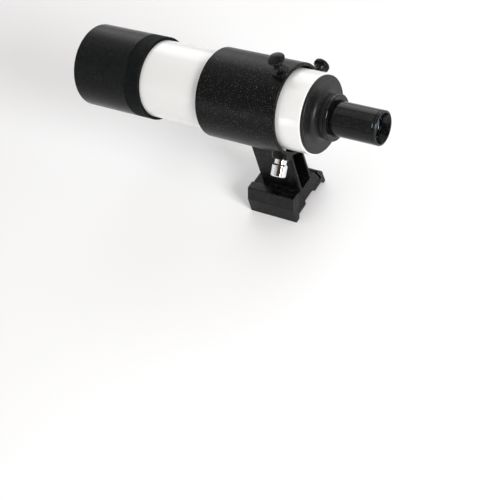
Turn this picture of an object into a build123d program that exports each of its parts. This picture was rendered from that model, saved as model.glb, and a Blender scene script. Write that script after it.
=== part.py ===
from build123d import *
import os
from math import cos, radians, sin, sqrt

# Finder scope for a large telescope: a 9 x 50 straight-through optical tube, held in a
# cast ring bracket whose dovetail foot slides into a shoe. Millimetres.
# Frame: +Y looks along the optical axis towards the sky, +Z is up out of the shoe,
# +X is the clamp-screw side. The origin is the centre of the underside of the shoe's
# floor, between its two bolt holes. The shoe stands on its two long skirts, which
# reach a little lower, round the curve of the telescope's tube.

os.makedirs("parts", exist_ok=True)

# ---- Driving dimensions -----------------------------------------------------------
AXIS_Z = 94.9            # height of the optical axis above the underside of the shoe's floor

# Optical tube, stations along Y
CELL_FRONT = 144.2       # front rim of the objective cell
SEAM_Y = 96.3            # objective cell meets the focus lock ring
BAND_REAR = 83.6         # rear edge of the focus lock ring
DISC_FRONT = -51.7       # rear end of the white tube
DISC_REAR = -53.9        # rear face of the end plate
HUB_REAR = -62.4         # rear face of the end plate's hub
COLLAR_REAR = -65.0      # rear face of the eyepiece lock ring
END_RING_Y = -97.5       # seam of the eyepiece end ring
EYE_REAR = -99.8         # rear rim of the eyepiece

# Optical tube, radii
TUBE_R = 28.5
TUBE_WALL = 1.5
CELL_R = 30.8
DISC_R = 27.4
NECK_R = 15.2
HUB_R = 16.0
COLLAR_R = 16.4
BARREL_R = 12.15
APERTURE_R = 25.0        # half of the 50 mm clear aperture
LENS_R = 26.0

# Ring bracket
RING_FRONT = 31.2
RING_REAR = -33.8
RING_R = 32.4
RING_BORE_R = 30.1
SCREW_Y = -27.7          # station of the two thumbscrews and the spring plunger
SEAT_Y = 27.0            # station of the O-ring, the tube's pivot
STEM_FRONT = 13.6
STEM_REAR = -20.0
STEM_HALF_TOP = 7.8
STEM_HALF_BASE = 8.6
STEM_WALL = 2.5
FOOT_FRONT = 19.8
FOOT_TOP = 15.9
FOOT_WIDE_Z = 5.0        # height of the dovetail's widest line
FOOT_HALF_TOP = 11.9
FOOT_HALF_WIDE = 16.4
FOOT_HALF_BASE = 15.2

# Shoe
SHOE_HALF_LENGTH = 20.25
FLOOR_TOP = 2.9
SKIRT_DROP = 3.6         # how far the skirts reach below the floor
SKIRT_INNER = 19.0
NEAR_HALF = 23.3         # outer faces, from the middle
FAR_HALF = 21.8
NEAR_JAW_TOP = 17.2
FAR_JAW_TOP = 11.6
BOLT_SPACING = 26.0
BOLT_HOLE_R = 2.2
CLAMP_Z = 6.8
CLAMP_Y = 11.0

# Fits
RUNNING = 0.06           # radial running clearance of threads and sliding pins
SLIP = 0.15              # clearance between the dovetail's flat faces
TIP_GAP = 0.3            # clearance of each pointed screw to the round tube
SCREW_R = 2.0            # M4 thumbscrew
EASE = 0.5               # usual edge break

# Directions of the three supports around the tube
TOP_DIR = Vector(0, 0, 1)
SIDE_DIR = Vector(1, 0, 0)
SPRING_DIR = Vector(-sin(radians(45)), 0, -cos(radians(45)))

TUBE_CENTRE = Vector(0, 0, AXIS_Z)
TUBE_AXIS = Axis(TUBE_CENTRE, (0, 1, 0))
# Half-section plane of everything turned about the optical axis: (station, radius)
TURNED = Plane(origin=TUBE_CENTRE, x_dir=(0, 1, 0), z_dir=(1, 0, 0))
SUPPORT_CENTRE = Vector(0, SCREW_Y, AXIS_Z)


def radial_plane(direction):
    """Half-section plane of a piece turned about a support: (distance, radius)."""
    return Plane(origin=SUPPORT_CENTRE, x_dir=direction, z_dir=direction.cross(Vector(0, 1, 0)))


def radial_axis(direction):
    """Axis of a support, from the optical axis outwards."""
    return Axis(SUPPORT_CENTRE, direction)


def save(piece, name):
    """Label one finished piece and write its STEP file."""
    piece.part.label = name
    export_step(piece.part, f"parts/{name}.step")


# ---- Shoe ---------------------------------------------------------------------------
CHANNEL_NEAR = -(FOOT_HALF_WIDE + SLIP)
CHANNEL_FAR = FOOT_HALF_WIDE + 1.6
FLANK_LEAN = (FOOT_HALF_WIDE - FOOT_HALF_TOP) / (FOOT_TOP - FOOT_WIDE_Z)
NEAR_LIP = CHANNEL_NEAR + FLANK_LEAN * (NEAR_JAW_TOP - FOOT_WIDE_Z)
FAR_LIP = CHANNEL_FAR - FLANK_LEAN * (FAR_JAW_TOP - FOOT_WIDE_Z)
SKIRT_SLOPE = 1.6        # slant of the skirts' inner faces
NEAR_RIDGE = (-NEAR_HALF + 0.4, 8.8)
FAR_RIDGE = (FAR_HALF - 0.6, 7.4)
NEAR_TOP_OUT = -18.9
FAR_TOP_OUT = 17.7
JAW_ROUND = 0.8
RIDGE_ROUND = 1.2
NOTCH_HALF = 7.0
NOTCH_DEPTH = 4.0
COUNTERSINK = 1.8        # how much wider than the hole

with BuildPart() as dovetail_shoe:
    with BuildSketch(Plane.XZ.offset(-SHOE_HALF_LENGTH)):
        Polygon(
            (-NEAR_HALF, -SKIRT_DROP),
            (-SKIRT_INNER, -SKIRT_DROP),
            (-SKIRT_INNER + SKIRT_SLOPE, 0),
            (SKIRT_INNER - SKIRT_SLOPE, 0),
            (SKIRT_INNER, -SKIRT_DROP),
            (FAR_HALF, -SKIRT_DROP),
            FAR_RIDGE,
            (FAR_TOP_OUT, FAR_JAW_TOP),
            (FAR_LIP, FAR_JAW_TOP),
            (CHANNEL_FAR, FOOT_WIDE_Z),
            (CHANNEL_FAR, FLOOR_TOP),
            (CHANNEL_NEAR, FLOOR_TOP),
            (CHANNEL_NEAR, FOOT_WIDE_Z),
            (NEAR_LIP, NEAR_JAW_TOP),
            (NEAR_TOP_OUT, NEAR_JAW_TOP),
            NEAR_RIDGE,
            align=None,
        )
    extrude(amount=2 * SHOE_HALF_LENGTH)
    long_edges = dovetail_shoe.edges().filter_by(Axis.Y)
    jaw_edges = long_edges.filter_by_position(Axis.Z, FAR_JAW_TOP - SLIP, NEAR_JAW_TOP + SLIP)
    fillet(jaw_edges, radius=JAW_ROUND)
    long_edges = dovetail_shoe.edges().filter_by(Axis.Y)
    ridges = long_edges.filter_by_position(Axis.Z, FAR_RIDGE[1] - SLIP, NEAR_RIDGE[1] + SLIP)
    fillet(ridges, radius=RIDGE_ROUND)
    with BuildSketch(Plane.XY):
        with Locations((0, -SHOE_HALF_LENGTH), (0, SHOE_HALF_LENGTH)):
            SlotOverall(2 * NOTCH_HALF, 2 * NOTCH_DEPTH)
    extrude(amount=FLOOR_TOP, mode=Mode.SUBTRACT)
    with Locations(Plane.XY.offset(FLOOR_TOP)):
        with GridLocations(0, BOLT_SPACING, 1, 2):
            CounterSinkHole(radius=BOLT_HOLE_R, counter_sink_radius=BOLT_HOLE_R + COUNTERSINK)
    clamp_plane = Plane(origin=(0, CLAMP_Y, CLAMP_Z), x_dir=(0, 1, 0), z_dir=(1, 0, 0))
    with BuildSketch(clamp_plane.offset(FAR_HALF + EASE)):
        Circle(SCREW_R + RUNNING)
    extrude(amount=-(FAR_HALF + EASE - FOOT_HALF_TOP), mode=Mode.SUBTRACT)
save(dovetail_shoe, "dovetail_shoe")

# Clamp screw: a plain rod that presses the foot's flank, and a moulded knob on its end
FLANK_AT_CLAMP = FOOT_HALF_WIDE - FLANK_LEAN * (CLAMP_Z - FOOT_WIDE_Z)
CLAMP_TIP = FLANK_AT_CLAMP + FLANK_LEAN * SCREW_R + SLIP
CLAMP_KNOB_IN = FAR_HALF + 3.4
CLAMP_KNOB_OUT = CLAMP_KNOB_IN + 9.0
CLAMP_NECK_R = 3.4
CLAMP_NECK_OUT = CLAMP_KNOB_IN + 2.4
CLAMP_GRIP_IN = CLAMP_KNOB_IN + 3.0
CLAMP_GRIP_R = 5.2
CLAMP_GRIP_BREAK = 0.8
CLAMP_AXIS = Axis((0, CLAMP_Y, CLAMP_Z), (1, 0, 0))
CLAMP_SECTION = Plane(origin=(0, CLAMP_Y, CLAMP_Z), x_dir=(1, 0, 0), z_dir=(0, 1, 0))
KNOB_SOCKET = 5.0

with BuildPart() as clamp_screw_rod:
    with BuildSketch(CLAMP_SECTION):
        Polygon(
            (CLAMP_TIP, 0),
            (CLAMP_TIP, SCREW_R - EASE),
            (CLAMP_TIP + EASE, SCREW_R),
            (CLAMP_KNOB_IN + KNOB_SOCKET, SCREW_R),
            (CLAMP_KNOB_IN + KNOB_SOCKET, 0),
            align=None,
        )
    revolve(axis=CLAMP_AXIS)
save(clamp_screw_rod, "clamp_screw_rod")

with BuildPart() as clamp_screw_knob:
    with BuildSketch(CLAMP_SECTION):
        Polygon(
            (CLAMP_KNOB_IN, SCREW_R + RUNNING),
            (CLAMP_KNOB_IN, CLAMP_NECK_R),
            (CLAMP_NECK_OUT, CLAMP_NECK_R),
            (CLAMP_GRIP_IN, CLAMP_GRIP_R),
            (CLAMP_KNOB_OUT - CLAMP_GRIP_BREAK, CLAMP_GRIP_R),
            (CLAMP_KNOB_OUT, CLAMP_GRIP_R - CLAMP_GRIP_BREAK),
            (CLAMP_KNOB_OUT, 0),
            (CLAMP_KNOB_IN + KNOB_SOCKET + RUNNING, 0),
            (CLAMP_KNOB_IN + KNOB_SOCKET + RUNNING, SCREW_R + RUNNING),
            align=None,
        )
    revolve(axis=CLAMP_AXIS)
save(clamp_screw_knob, "clamp_screw_knob")

# ---- Ring bracket: ring, hollow stem, dovetail foot and three bosses in one casting ----
PAD_R = 6.2              # round pads under the thumbscrews
PAD_TOP = 34.8
SPRING_BOSS_R = 6.6
SPRING_BOSS_TOP = 36.3
SPRING_BOSS_DRAFT = 1.2  # how much wider its root is
HOUSING_THREAD_R = 3.6
RING_MID_R = 30.9
STEM_CAVITY_TOP = AXIS_Z - RING_R - 2.4
STEM_CAVITY_BASE = FOOT_TOP - 0.9
SEAT_GROOVE_R = 31.15
SEAT_GROOVE_HALF = 1.65
CAST_ROUND = 0.6         # soft edges of the casting's ring
STEM_ROUND = 1.4         # soft corners of its stem
BOSS_BREAK = 0.5         # broken edges of its bosses

with BuildPart() as bracket_body:
    with BuildSketch(Plane.XZ.offset(-RING_FRONT)):
        with Locations((0, AXIS_Z)):
            Circle(RING_R)
    extrude(amount=RING_FRONT - RING_REAR)
    fillet(bracket_body.edges().filter_by(GeomType.CIRCLE), radius=CAST_ROUND)
    with BuildSketch(Plane.XZ.offset(-STEM_FRONT)):
        Polygon(
            (-STEM_HALF_BASE, FOOT_TOP - 1),
            (STEM_HALF_BASE, FOOT_TOP - 1),
            (STEM_HALF_TOP, AXIS_Z - RING_MID_R),
            (-STEM_HALF_TOP, AXIS_Z - RING_MID_R),
            align=None,
        )
    extrude(amount=STEM_FRONT - STEM_REAR)
    straight_edges = bracket_body.edges().filter_by(GeomType.LINE)
    upright_edges = straight_edges.filter_by_position(Axis.Z, FOOT_TOP, AXIS_Z - RING_MID_R)
    corners = upright_edges - upright_edges.filter_by(Axis.X) - upright_edges.filter_by(Axis.Y)
    fillet(corners, radius=STEM_ROUND)
    with BuildSketch(Plane.XZ.offset(-FOOT_FRONT)):
        Polygon(
            (-FOOT_HALF_TOP, FOOT_TOP),
            (FOOT_HALF_TOP, FOOT_TOP),
            (FOOT_HALF_WIDE, FOOT_WIDE_Z),
            (FOOT_HALF_BASE, FLOOR_TOP + SLIP),
            (-FOOT_HALF_BASE, FLOOR_TOP + SLIP),
            (-FOOT_HALF_WIDE, FOOT_WIDE_Z),
            align=None,
        )
    extrude(amount=FOOT_FRONT - STEM_REAR)
    with BuildSketch(Plane.XZ.offset(-STEM_FRONT - EASE)):
        Polygon(
            (-STEM_HALF_BASE + STEM_WALL, STEM_CAVITY_BASE),
            (STEM_HALF_BASE - STEM_WALL, STEM_CAVITY_BASE),
            (STEM_HALF_TOP - STEM_WALL, STEM_CAVITY_TOP),
            (-STEM_HALF_TOP + STEM_WALL, STEM_CAVITY_TOP),
            align=None,
        )
    extrude(amount=STEM_FRONT - STEM_REAR + 2 * EASE, mode=Mode.SUBTRACT)
    for direction in (TOP_DIR, SIDE_DIR):
        with BuildSketch(radial_plane(direction)):
            Polygon(
                (RING_MID_R, 0),
                (RING_MID_R, PAD_R),
                (PAD_TOP - BOSS_BREAK, PAD_R),
                (PAD_TOP, PAD_R - BOSS_BREAK),
                (PAD_TOP, 0),
                align=None,
            )
        revolve(axis=radial_axis(direction))
    with BuildSketch(radial_plane(SPRING_DIR)):
        Polygon(
            (RING_MID_R, 0),
            (RING_MID_R, SPRING_BOSS_R + SPRING_BOSS_DRAFT),
            (SPRING_BOSS_TOP - BOSS_BREAK, SPRING_BOSS_R),
            (SPRING_BOSS_TOP, SPRING_BOSS_R - BOSS_BREAK),
            (SPRING_BOSS_TOP, 0),
            align=None,
        )
    revolve(axis=radial_axis(SPRING_DIR))
    split(bisect_by=Plane.XZ.offset(-RING_REAR), keep=Keep.BOTTOM)
    with BuildSketch(Plane.XZ.offset(-RING_FRONT - EASE)):
        with Locations((0, AXIS_Z)):
            Circle(RING_BORE_R)
    extrude(amount=RING_FRONT - RING_REAR + 2 * EASE, mode=Mode.SUBTRACT)
    with BuildSketch(TURNED):
        Polygon(
            (SEAT_Y - SEAT_GROOVE_HALF, RING_BORE_R - 1),
            (SEAT_Y - SEAT_GROOVE_HALF, SEAT_GROOVE_R),
            (SEAT_Y + SEAT_GROOVE_HALF, SEAT_GROOVE_R),
            (SEAT_Y + SEAT_GROOVE_HALF, RING_BORE_R - 1),
            align=None,
        )
    revolve(axis=TUBE_AXIS, mode=Mode.SUBTRACT)
    for direction in (TOP_DIR, SIDE_DIR):
        with BuildSketch(radial_plane(direction)):
            Polygon(
                (RING_BORE_R - 2, 0),
                (RING_BORE_R - 2, SCREW_R + RUNNING),
                (PAD_TOP + 1, SCREW_R + RUNNING),
                (PAD_TOP + 1, 0),
                align=None,
            )
        revolve(axis=radial_axis(direction), mode=Mode.SUBTRACT)
    with BuildSketch(radial_plane(SPRING_DIR)):
        Polygon(
            (RING_BORE_R - 2, 0),
            (RING_BORE_R - 2, HOUSING_THREAD_R),
            (SPRING_BOSS_TOP + 1, HOUSING_THREAD_R),
            (SPRING_BOSS_TOP + 1, 0),
            align=None,
        )
    revolve(axis=radial_axis(SPRING_DIR), mode=Mode.SUBTRACT)
save(bracket_body, "bracket_body")

# ---- Two alignment thumbscrews: steel rod and moulded mushroom head ----------------------
ROD_TIP = TUBE_R + TIP_GAP
HEAD_IN = 37.6           # inner end of the head's stepped collar
HEAD_OUT = 47.4          # crown of the head
HEAD_R = 5.9
HEAD_SOCKET = 43.8
RIM_IN = 43.0
COLLAR_STEP_R = 3.4      # stepped collar under the head
COLLAR_STEP_OUT = HEAD_IN + 1.2
HEAD_NECK_R = 3.0
HEAD_NECK_OUT = HEAD_IN + 2.2
FLARE_OUT = HEAD_IN + 4.2
FLARE_OUT_R = 4.0
DOME_START = 45.3
DOME_RISE = HEAD_OUT - DOME_START
DOME_CURVE = (HEAD_R * HEAD_R + DOME_RISE * DOME_RISE) / (2 * DOME_RISE)
DOME_HALF_R = HEAD_R / 2
DOME_MIDDLE = (HEAD_OUT - DOME_CURVE + sqrt(DOME_CURVE**2 - DOME_HALF_R**2), DOME_HALF_R)


def make_thumbscrew(direction, place):
    """One thumbscrew at a support: its rod and its head, as two pieces."""
    with BuildPart() as align_rod:
        with BuildSketch(radial_plane(direction)):
            Polygon(
                (ROD_TIP, 0),
                (ROD_TIP, SCREW_R - EASE),
                (ROD_TIP + EASE, SCREW_R),
                (HEAD_SOCKET, SCREW_R),
                (HEAD_SOCKET, 0),
                align=None,
            )
        revolve(axis=radial_axis(direction))
    save(align_rod, f"align_rod_{place}")

    with BuildPart() as align_knob:
        with BuildSketch(radial_plane(direction)):
            with BuildLine():
                Polyline(
                    (HEAD_OUT, 0),
                    (HEAD_SOCKET + RUNNING, 0),
                    (HEAD_SOCKET + RUNNING, SCREW_R + RUNNING),
                    (HEAD_IN, SCREW_R + RUNNING),
                    (HEAD_IN, COLLAR_STEP_R),
                    (COLLAR_STEP_OUT, COLLAR_STEP_R),
                    (COLLAR_STEP_OUT, HEAD_NECK_R),
                    (HEAD_NECK_OUT, HEAD_NECK_R),
                    (FLARE_OUT, FLARE_OUT_R),
                    (RIM_IN, HEAD_R - EASE),
                    (RIM_IN + EASE, HEAD_R),
                    (DOME_START, HEAD_R),
                )
                ThreePointArc((DOME_START, HEAD_R), DOME_MIDDLE, (HEAD_OUT, 0))
            make_face()
        revolve(axis=radial_axis(direction))
    save(align_knob, f"align_knob_{place}")


make_thumbscrew(TOP_DIR, "top")
make_thumbscrew(SIDE_DIR, "side")

# ---- Spring plunger: plated housing, coil spring and nylon pin ---------------------------
HOUSING_IN = RING_BORE_R + 0.6
HOUSING_NECK_R = 4.25
HOUSING_BODY_IN = 40.2
HOUSING_BODY_R = 5.4
HOUSING_OUT = 48.7
HOUSING_BORE_R = 2.7
HOUSING_BORE_END = 46.0
PIN_TIP_R = 1.9
PIN_HEAD_R = 2.6
PIN_HEAD_IN = 34.2
PIN_HEAD_OUT = 35.4
PIN_GUIDE_END = 32.4
SPRING_COIL_R = 2.0
SPRING_WIRE_R = 0.3
SPRING_TURNS = 7

with BuildPart() as plunger_housing:
    with BuildSketch(radial_plane(SPRING_DIR)):
        Polygon(
            (HOUSING_IN, PIN_TIP_R + RUNNING),
            (HOUSING_IN, HOUSING_THREAD_R),
            (SPRING_BOSS_TOP, HOUSING_THREAD_R),
            (SPRING_BOSS_TOP, HOUSING_NECK_R),
            (HOUSING_BODY_IN, HOUSING_NECK_R),
            (HOUSING_BODY_IN, HOUSING_BODY_R - EASE),
            (HOUSING_BODY_IN + EASE, HOUSING_BODY_R),
            (HOUSING_OUT - EASE, HOUSING_BODY_R),
            (HOUSING_OUT, HOUSING_BODY_R - EASE),
            (HOUSING_OUT, 0),
            (HOUSING_BORE_END, 0),
            (HOUSING_BORE_END, HOUSING_BORE_R),
            (PIN_GUIDE_END, HOUSING_BORE_R),
            (PIN_GUIDE_END, PIN_TIP_R + RUNNING),
            align=None,
        )
    revolve(axis=radial_axis(SPRING_DIR))
save(plunger_housing, "plunger_housing")

with BuildPart() as plunger_pin:
    with BuildSketch(radial_plane(SPRING_DIR)):
        Polygon(
            (ROD_TIP, 0),
            (ROD_TIP, PIN_TIP_R - EASE),
            (ROD_TIP + EASE, PIN_TIP_R),
            (PIN_HEAD_IN, PIN_TIP_R),
            (PIN_HEAD_IN, PIN_HEAD_R),
            (PIN_HEAD_OUT, PIN_HEAD_R),
            (PIN_HEAD_OUT, 0),
            align=None,
        )
    revolve(axis=radial_axis(SPRING_DIR))
save(plunger_pin, "plunger_pin")

SPRING_SEAT_GAP = 0.05
SPRING_START = PIN_HEAD_OUT + SPRING_WIRE_R + SPRING_SEAT_GAP
SPRING_LENGTH = HOUSING_BORE_END - SPRING_WIRE_R - SPRING_SEAT_GAP - SPRING_START
SPRING_ORIGIN = SUPPORT_CENTRE + SPRING_DIR * SPRING_START

with BuildPart() as plunger_spring:
    with BuildLine() as coil:
        Helix(
            pitch=SPRING_LENGTH / SPRING_TURNS,
            height=SPRING_LENGTH,
            radius=SPRING_COIL_R,
            center=SPRING_ORIGIN,
            direction=SPRING_DIR,
        )
    with BuildSketch(Plane(origin=coil.line @ 0, z_dir=coil.line % 0)):
        Circle(SPRING_WIRE_R)
    sweep(path=coil.line, is_frenet=True)
save(plunger_spring, "plunger_spring")

# ---- Rubber O-ring that seats the tube in the bracket -------------------------------------
SEAT_MID_R = 29.7
SEAT_WIRE_R = 1.1

with BuildPart() as seat_o_ring:
    with BuildSketch(TURNED):
        with Locations((SEAT_Y, SEAT_MID_R)):
            Circle(SEAT_WIRE_R)
    revolve(axis=TUBE_AXIS)
save(seat_o_ring, "seat_o_ring")

# ---- Main tube and its threaded front collar ---------------------------------------------
TUBE_FRONT = 90.0
TUBE_BORE_R = TUBE_R - TUBE_WALL
COLLAR_SPIGOT_Y = 78.0
COLLAR_FRONT = 116.0
COLLAR_BORE_R = 25.6

with BuildPart() as main_tube:
    with BuildSketch(TURNED):
        Polygon(
            (DISC_FRONT, TUBE_BORE_R),
            (DISC_FRONT, TUBE_R),
            (TUBE_FRONT, TUBE_R),
            (TUBE_FRONT, TUBE_BORE_R),
            align=None,
        )
    revolve(axis=TUBE_AXIS)
save(main_tube, "main_tube")

with BuildPart() as focus_thread_collar:
    with BuildSketch(TURNED):
        Polygon(
            (COLLAR_SPIGOT_Y, COLLAR_BORE_R),
            (COLLAR_SPIGOT_Y, TUBE_BORE_R),
            (TUBE_FRONT, TUBE_BORE_R),
            (TUBE_FRONT, TUBE_R),
            (COLLAR_FRONT, TUBE_R),
            (COLLAR_FRONT, COLLAR_BORE_R),
            align=None,
        )
    revolve(axis=TUBE_AXIS)
save(focus_thread_collar, "focus_thread_collar")

# ---- Focus lock ring and objective cell with its dew shield --------------------------------
THREAD_BORE_R = TUBE_R + RUNNING
BREAK = 0.4

with BuildPart() as focus_lock_ring:
    with BuildSketch(TURNED):
        Polygon(
            (BAND_REAR, THREAD_BORE_R),
            (BAND_REAR, CELL_R - BREAK),
            (BAND_REAR + BREAK, CELL_R),
            (SEAM_Y - BREAK, CELL_R),
            (SEAM_Y, CELL_R - BREAK),
            (SEAM_Y, THREAD_BORE_R),
            align=None,
        )
    revolve(axis=TUBE_AXIS)
save(focus_lock_ring, "focus_lock_ring")

SHOULDER_REAR = 118.0
SHOULDER_FRONT = 119.5
LENS_BORE_R = LENS_R + RUNNING
SHIELD_REAR = 132.0
SHIELD_BORE_R = 28.9
SHOULDER_BORE_R = APERTURE_R + 0.3

with BuildPart() as objective_cell:
    with BuildSketch(TURNED):
        Polygon(
            (SEAM_Y, THREAD_BORE_R),
            (SEAM_Y, CELL_R - BREAK),
            (SEAM_Y + BREAK, CELL_R),
            (CELL_FRONT - EASE, CELL_R),
            (CELL_FRONT, CELL_R - EASE),
            (CELL_FRONT, SHIELD_BORE_R + EASE),
            (CELL_FRONT - EASE, SHIELD_BORE_R),
            (SHIELD_REAR, SHIELD_BORE_R),
            (SHIELD_REAR, LENS_BORE_R),
            (SHOULDER_FRONT, LENS_BORE_R),
            (SHOULDER_FRONT, SHOULDER_BORE_R),
            (SHOULDER_REAR, SHOULDER_BORE_R),
            (SHOULDER_REAR, THREAD_BORE_R),
            align=None,
        )
    revolve(axis=TUBE_AXIS)
save(objective_cell, "objective_cell")

# ---- Objective: flint, spacer ring, crown and retaining ring --------------------------------
FRONT_CURVE = 110.0      # radius of the crown's outer face
INNER_CURVE = 80.0       # radius of the faces that look at each other
FLINT_CENTRE = 2.5       # thickness at the centre
AIR_GAP = 0.4
CROWN_EDGE = 1.6
SPACER_IN_R = 24.9
SKIN = 0.02              # a foil spacer's clearance to the curved faces


def bulge(curve, radius):
    """Height of a sphere's cap of this curve, at this radius."""
    return curve - sqrt(curve * curve - radius * radius)


FLINT_REAR = SHOULDER_FRONT + SKIN
FLINT_FACE = FLINT_REAR + FLINT_CENTRE
FLINT_RIM = FLINT_FACE + bulge(INNER_CURVE, LENS_R)
CROWN_FACE = FLINT_FACE + AIR_GAP
CROWN_RIM_REAR = CROWN_FACE + bulge(INNER_CURVE, LENS_R)
CROWN_RIM_FRONT = CROWN_RIM_REAR + CROWN_EDGE
CROWN_TOP = CROWN_RIM_FRONT + bulge(FRONT_CURVE, LENS_R)
HALF_R = LENS_R / 2

with BuildPart() as flint_lens:
    with BuildSketch(TURNED):
        with BuildLine():
            Polyline((FLINT_FACE, 0), (FLINT_REAR, 0), (FLINT_REAR, LENS_R), (FLINT_RIM, LENS_R))
            ThreePointArc(
                (FLINT_RIM, LENS_R), (FLINT_FACE + bulge(INNER_CURVE, HALF_R), HALF_R), (FLINT_FACE, 0)
            )
        make_face()
    revolve(axis=TUBE_AXIS)
save(flint_lens, "flint_lens")

with BuildPart() as lens_spacer_ring:
    with BuildSketch(TURNED):
        Polygon(
            (FLINT_FACE + bulge(INNER_CURVE, SPACER_IN_R) + SKIN, SPACER_IN_R),
            (FLINT_RIM + SKIN, LENS_R),
            (CROWN_RIM_REAR - SKIN, LENS_R),
            (CROWN_FACE + bulge(INNER_CURVE, SPACER_IN_R) - SKIN, SPACER_IN_R),
            align=None,
        )
    revolve(axis=TUBE_AXIS)
save(lens_spacer_ring, "lens_spacer_ring")

with BuildPart() as crown_lens:
    with BuildSketch(TURNED):
        with BuildLine():
            Line((CROWN_TOP, 0), (CROWN_FACE, 0))
            ThreePointArc(
                (CROWN_FACE, 0), (CROWN_FACE + bulge(INNER_CURVE, HALF_R), HALF_R), (CROWN_RIM_REAR, LENS_R)
            )
            Line((CROWN_RIM_REAR, LENS_R), (CROWN_RIM_FRONT, LENS_R))
            ThreePointArc(
                (CROWN_RIM_FRONT, LENS_R), (CROWN_TOP - bulge(FRONT_CURVE, HALF_R), HALF_R), (CROWN_TOP, 0)
            )
        make_face()
    revolve(axis=TUBE_AXIS)
save(crown_lens, "crown_lens")

RETAINER_REAR = CROWN_RIM_FRONT + SKIN
RETAINER_FRONT = SHIELD_REAR - 0.2
RETAINER_STEP = (RETAINER_REAR + 0.13, APERTURE_R + 0.6)
RETAINER_LIP = CROWN_RIM_FRONT + 1.0

with BuildPart() as objective_retaining_ring:
    with BuildSketch(TURNED):
        Polygon(
            RETAINER_STEP,
            (RETAINER_REAR, LENS_R),
            (RETAINER_FRONT, LENS_R),
            (RETAINER_FRONT, APERTURE_R),
            (RETAINER_LIP, APERTURE_R),
            align=None,
        )
    revolve(axis=TUBE_AXIS)
save(objective_retaining_ring, "objective_retaining_ring")

# ---- Rear end plate with its flared hub, and the eyepiece lock ring --------------------------
PLUG_FRONT = -42.0
PLUG_BORE_R = 25.0
FLARE_R = 21.0
NECK_START = -57.8
STEP_Y = -59.2
PLATE_BACK = DISC_FRONT + 1.6
FLARE_MIDDLE = (DISC_REAR - 0.9, NECK_R + 1.9)

with BuildPart() as rear_end_plate:
    with BuildSketch(TURNED):
        with BuildLine():
            Polyline(
                (NECK_START, NECK_R),
                (STEP_Y, NECK_R),
                (STEP_Y, HUB_R - BREAK),
                (STEP_Y - BREAK, HUB_R),
                (HUB_REAR + BREAK, HUB_R),
                (HUB_REAR, HUB_R - BREAK),
                (HUB_REAR, BARREL_R),
                (PLATE_BACK, BARREL_R),
                (PLATE_BACK, PLUG_BORE_R),
                (PLUG_FRONT, PLUG_BORE_R),
                (PLUG_FRONT, TUBE_BORE_R),
                (DISC_FRONT, TUBE_BORE_R),
                (DISC_FRONT, DISC_R),
                (DISC_REAR + BREAK, DISC_R),
                (DISC_REAR, DISC_R - BREAK),
                (DISC_REAR, FLARE_R),
            )
            ThreePointArc((DISC_REAR, FLARE_R), FLARE_MIDDLE, (NECK_START, NECK_R))
        make_face()
    revolve(axis=TUBE_AXIS)
save(rear_end_plate, "rear_end_plate")

RECESS_MOUTH_R = BARREL_R + 1.4
RECESS_FLOOR_R = BARREL_R + 0.9
RECESS_DEPTH = 1.0

with BuildPart() as eyepiece_lock_ring:
    with BuildSketch(TURNED):
        Polygon(
            (HUB_REAR, BARREL_R),
            (HUB_REAR, COLLAR_R - BREAK),
            (HUB_REAR - BREAK, COLLAR_R),
            (COLLAR_REAR + BREAK, COLLAR_R),
            (COLLAR_REAR, COLLAR_R - BREAK),
            (COLLAR_REAR, RECESS_MOUTH_R),
            (COLLAR_REAR + RECESS_DEPTH, RECESS_FLOOR_R),
            (COLLAR_REAR + RECESS_DEPTH, BARREL_R),
            align=None,
        )
    revolve(axis=TUBE_AXIS)
save(eyepiece_lock_ring, "eyepiece_lock_ring")

# ---- Eyepiece: barrel, lenses, spacer, field stop, crosshair and end ring --------------------
BARREL_FRONT = -46.0
BARREL_BORE_R = 10.6
END_SPIGOT = -94.0
END_BORE_R = 8.4
MOUTH_R = 10.8
END_LAND = 1.2           # straight part of the eye opening
SMALL_LENS_R = 10.5

with BuildPart() as eyepiece_barrel:
    with BuildSketch(TURNED):
        Polygon(
            (END_RING_Y, BARREL_BORE_R),
            (END_RING_Y, BARREL_R - BREAK),
            (END_RING_Y + BREAK, BARREL_R),
            (BARREL_FRONT, BARREL_R),
            (BARREL_FRONT, BARREL_BORE_R),
            align=None,
        )
    revolve(axis=TUBE_AXIS)
save(eyepiece_barrel, "eyepiece_barrel")

with BuildPart() as eyepiece_end_ring:
    with BuildSketch(TURNED):
        Polygon(
            (EYE_REAR, MOUTH_R),
            (EYE_REAR, BARREL_R - BREAK),
            (EYE_REAR + BREAK, BARREL_R),
            (END_RING_Y - BREAK, BARREL_R),
            (END_RING_Y, BARREL_R - BREAK),
            (END_RING_Y, BARREL_BORE_R),
            (END_SPIGOT, BARREL_BORE_R),
            (END_SPIGOT, END_BORE_R),
            (END_SPIGOT - END_LAND, END_BORE_R),
            align=None,
        )
    revolve(axis=TUBE_AXIS)
save(eyepiece_end_ring, "eyepiece_end_ring")

EYE_BACK = END_SPIGOT + SKIN
EYE_JOIN = EYE_BACK + 5.2
EYE_FRONT = EYE_JOIN + 1.8
EYE_CURVE = 16.0
EYE_BACK_CURVE = 40.0
EYE_TIP = EYE_BACK - 0.4         # middle of the curved back
EYE_FACE_R = 8.0
EYE_RIM = EYE_BACK + 0.5
EYE_RIM_R = 8.6
EYE_JOIN_EDGE = EYE_JOIN - bulge(EYE_CURVE, SMALL_LENS_R)

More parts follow.
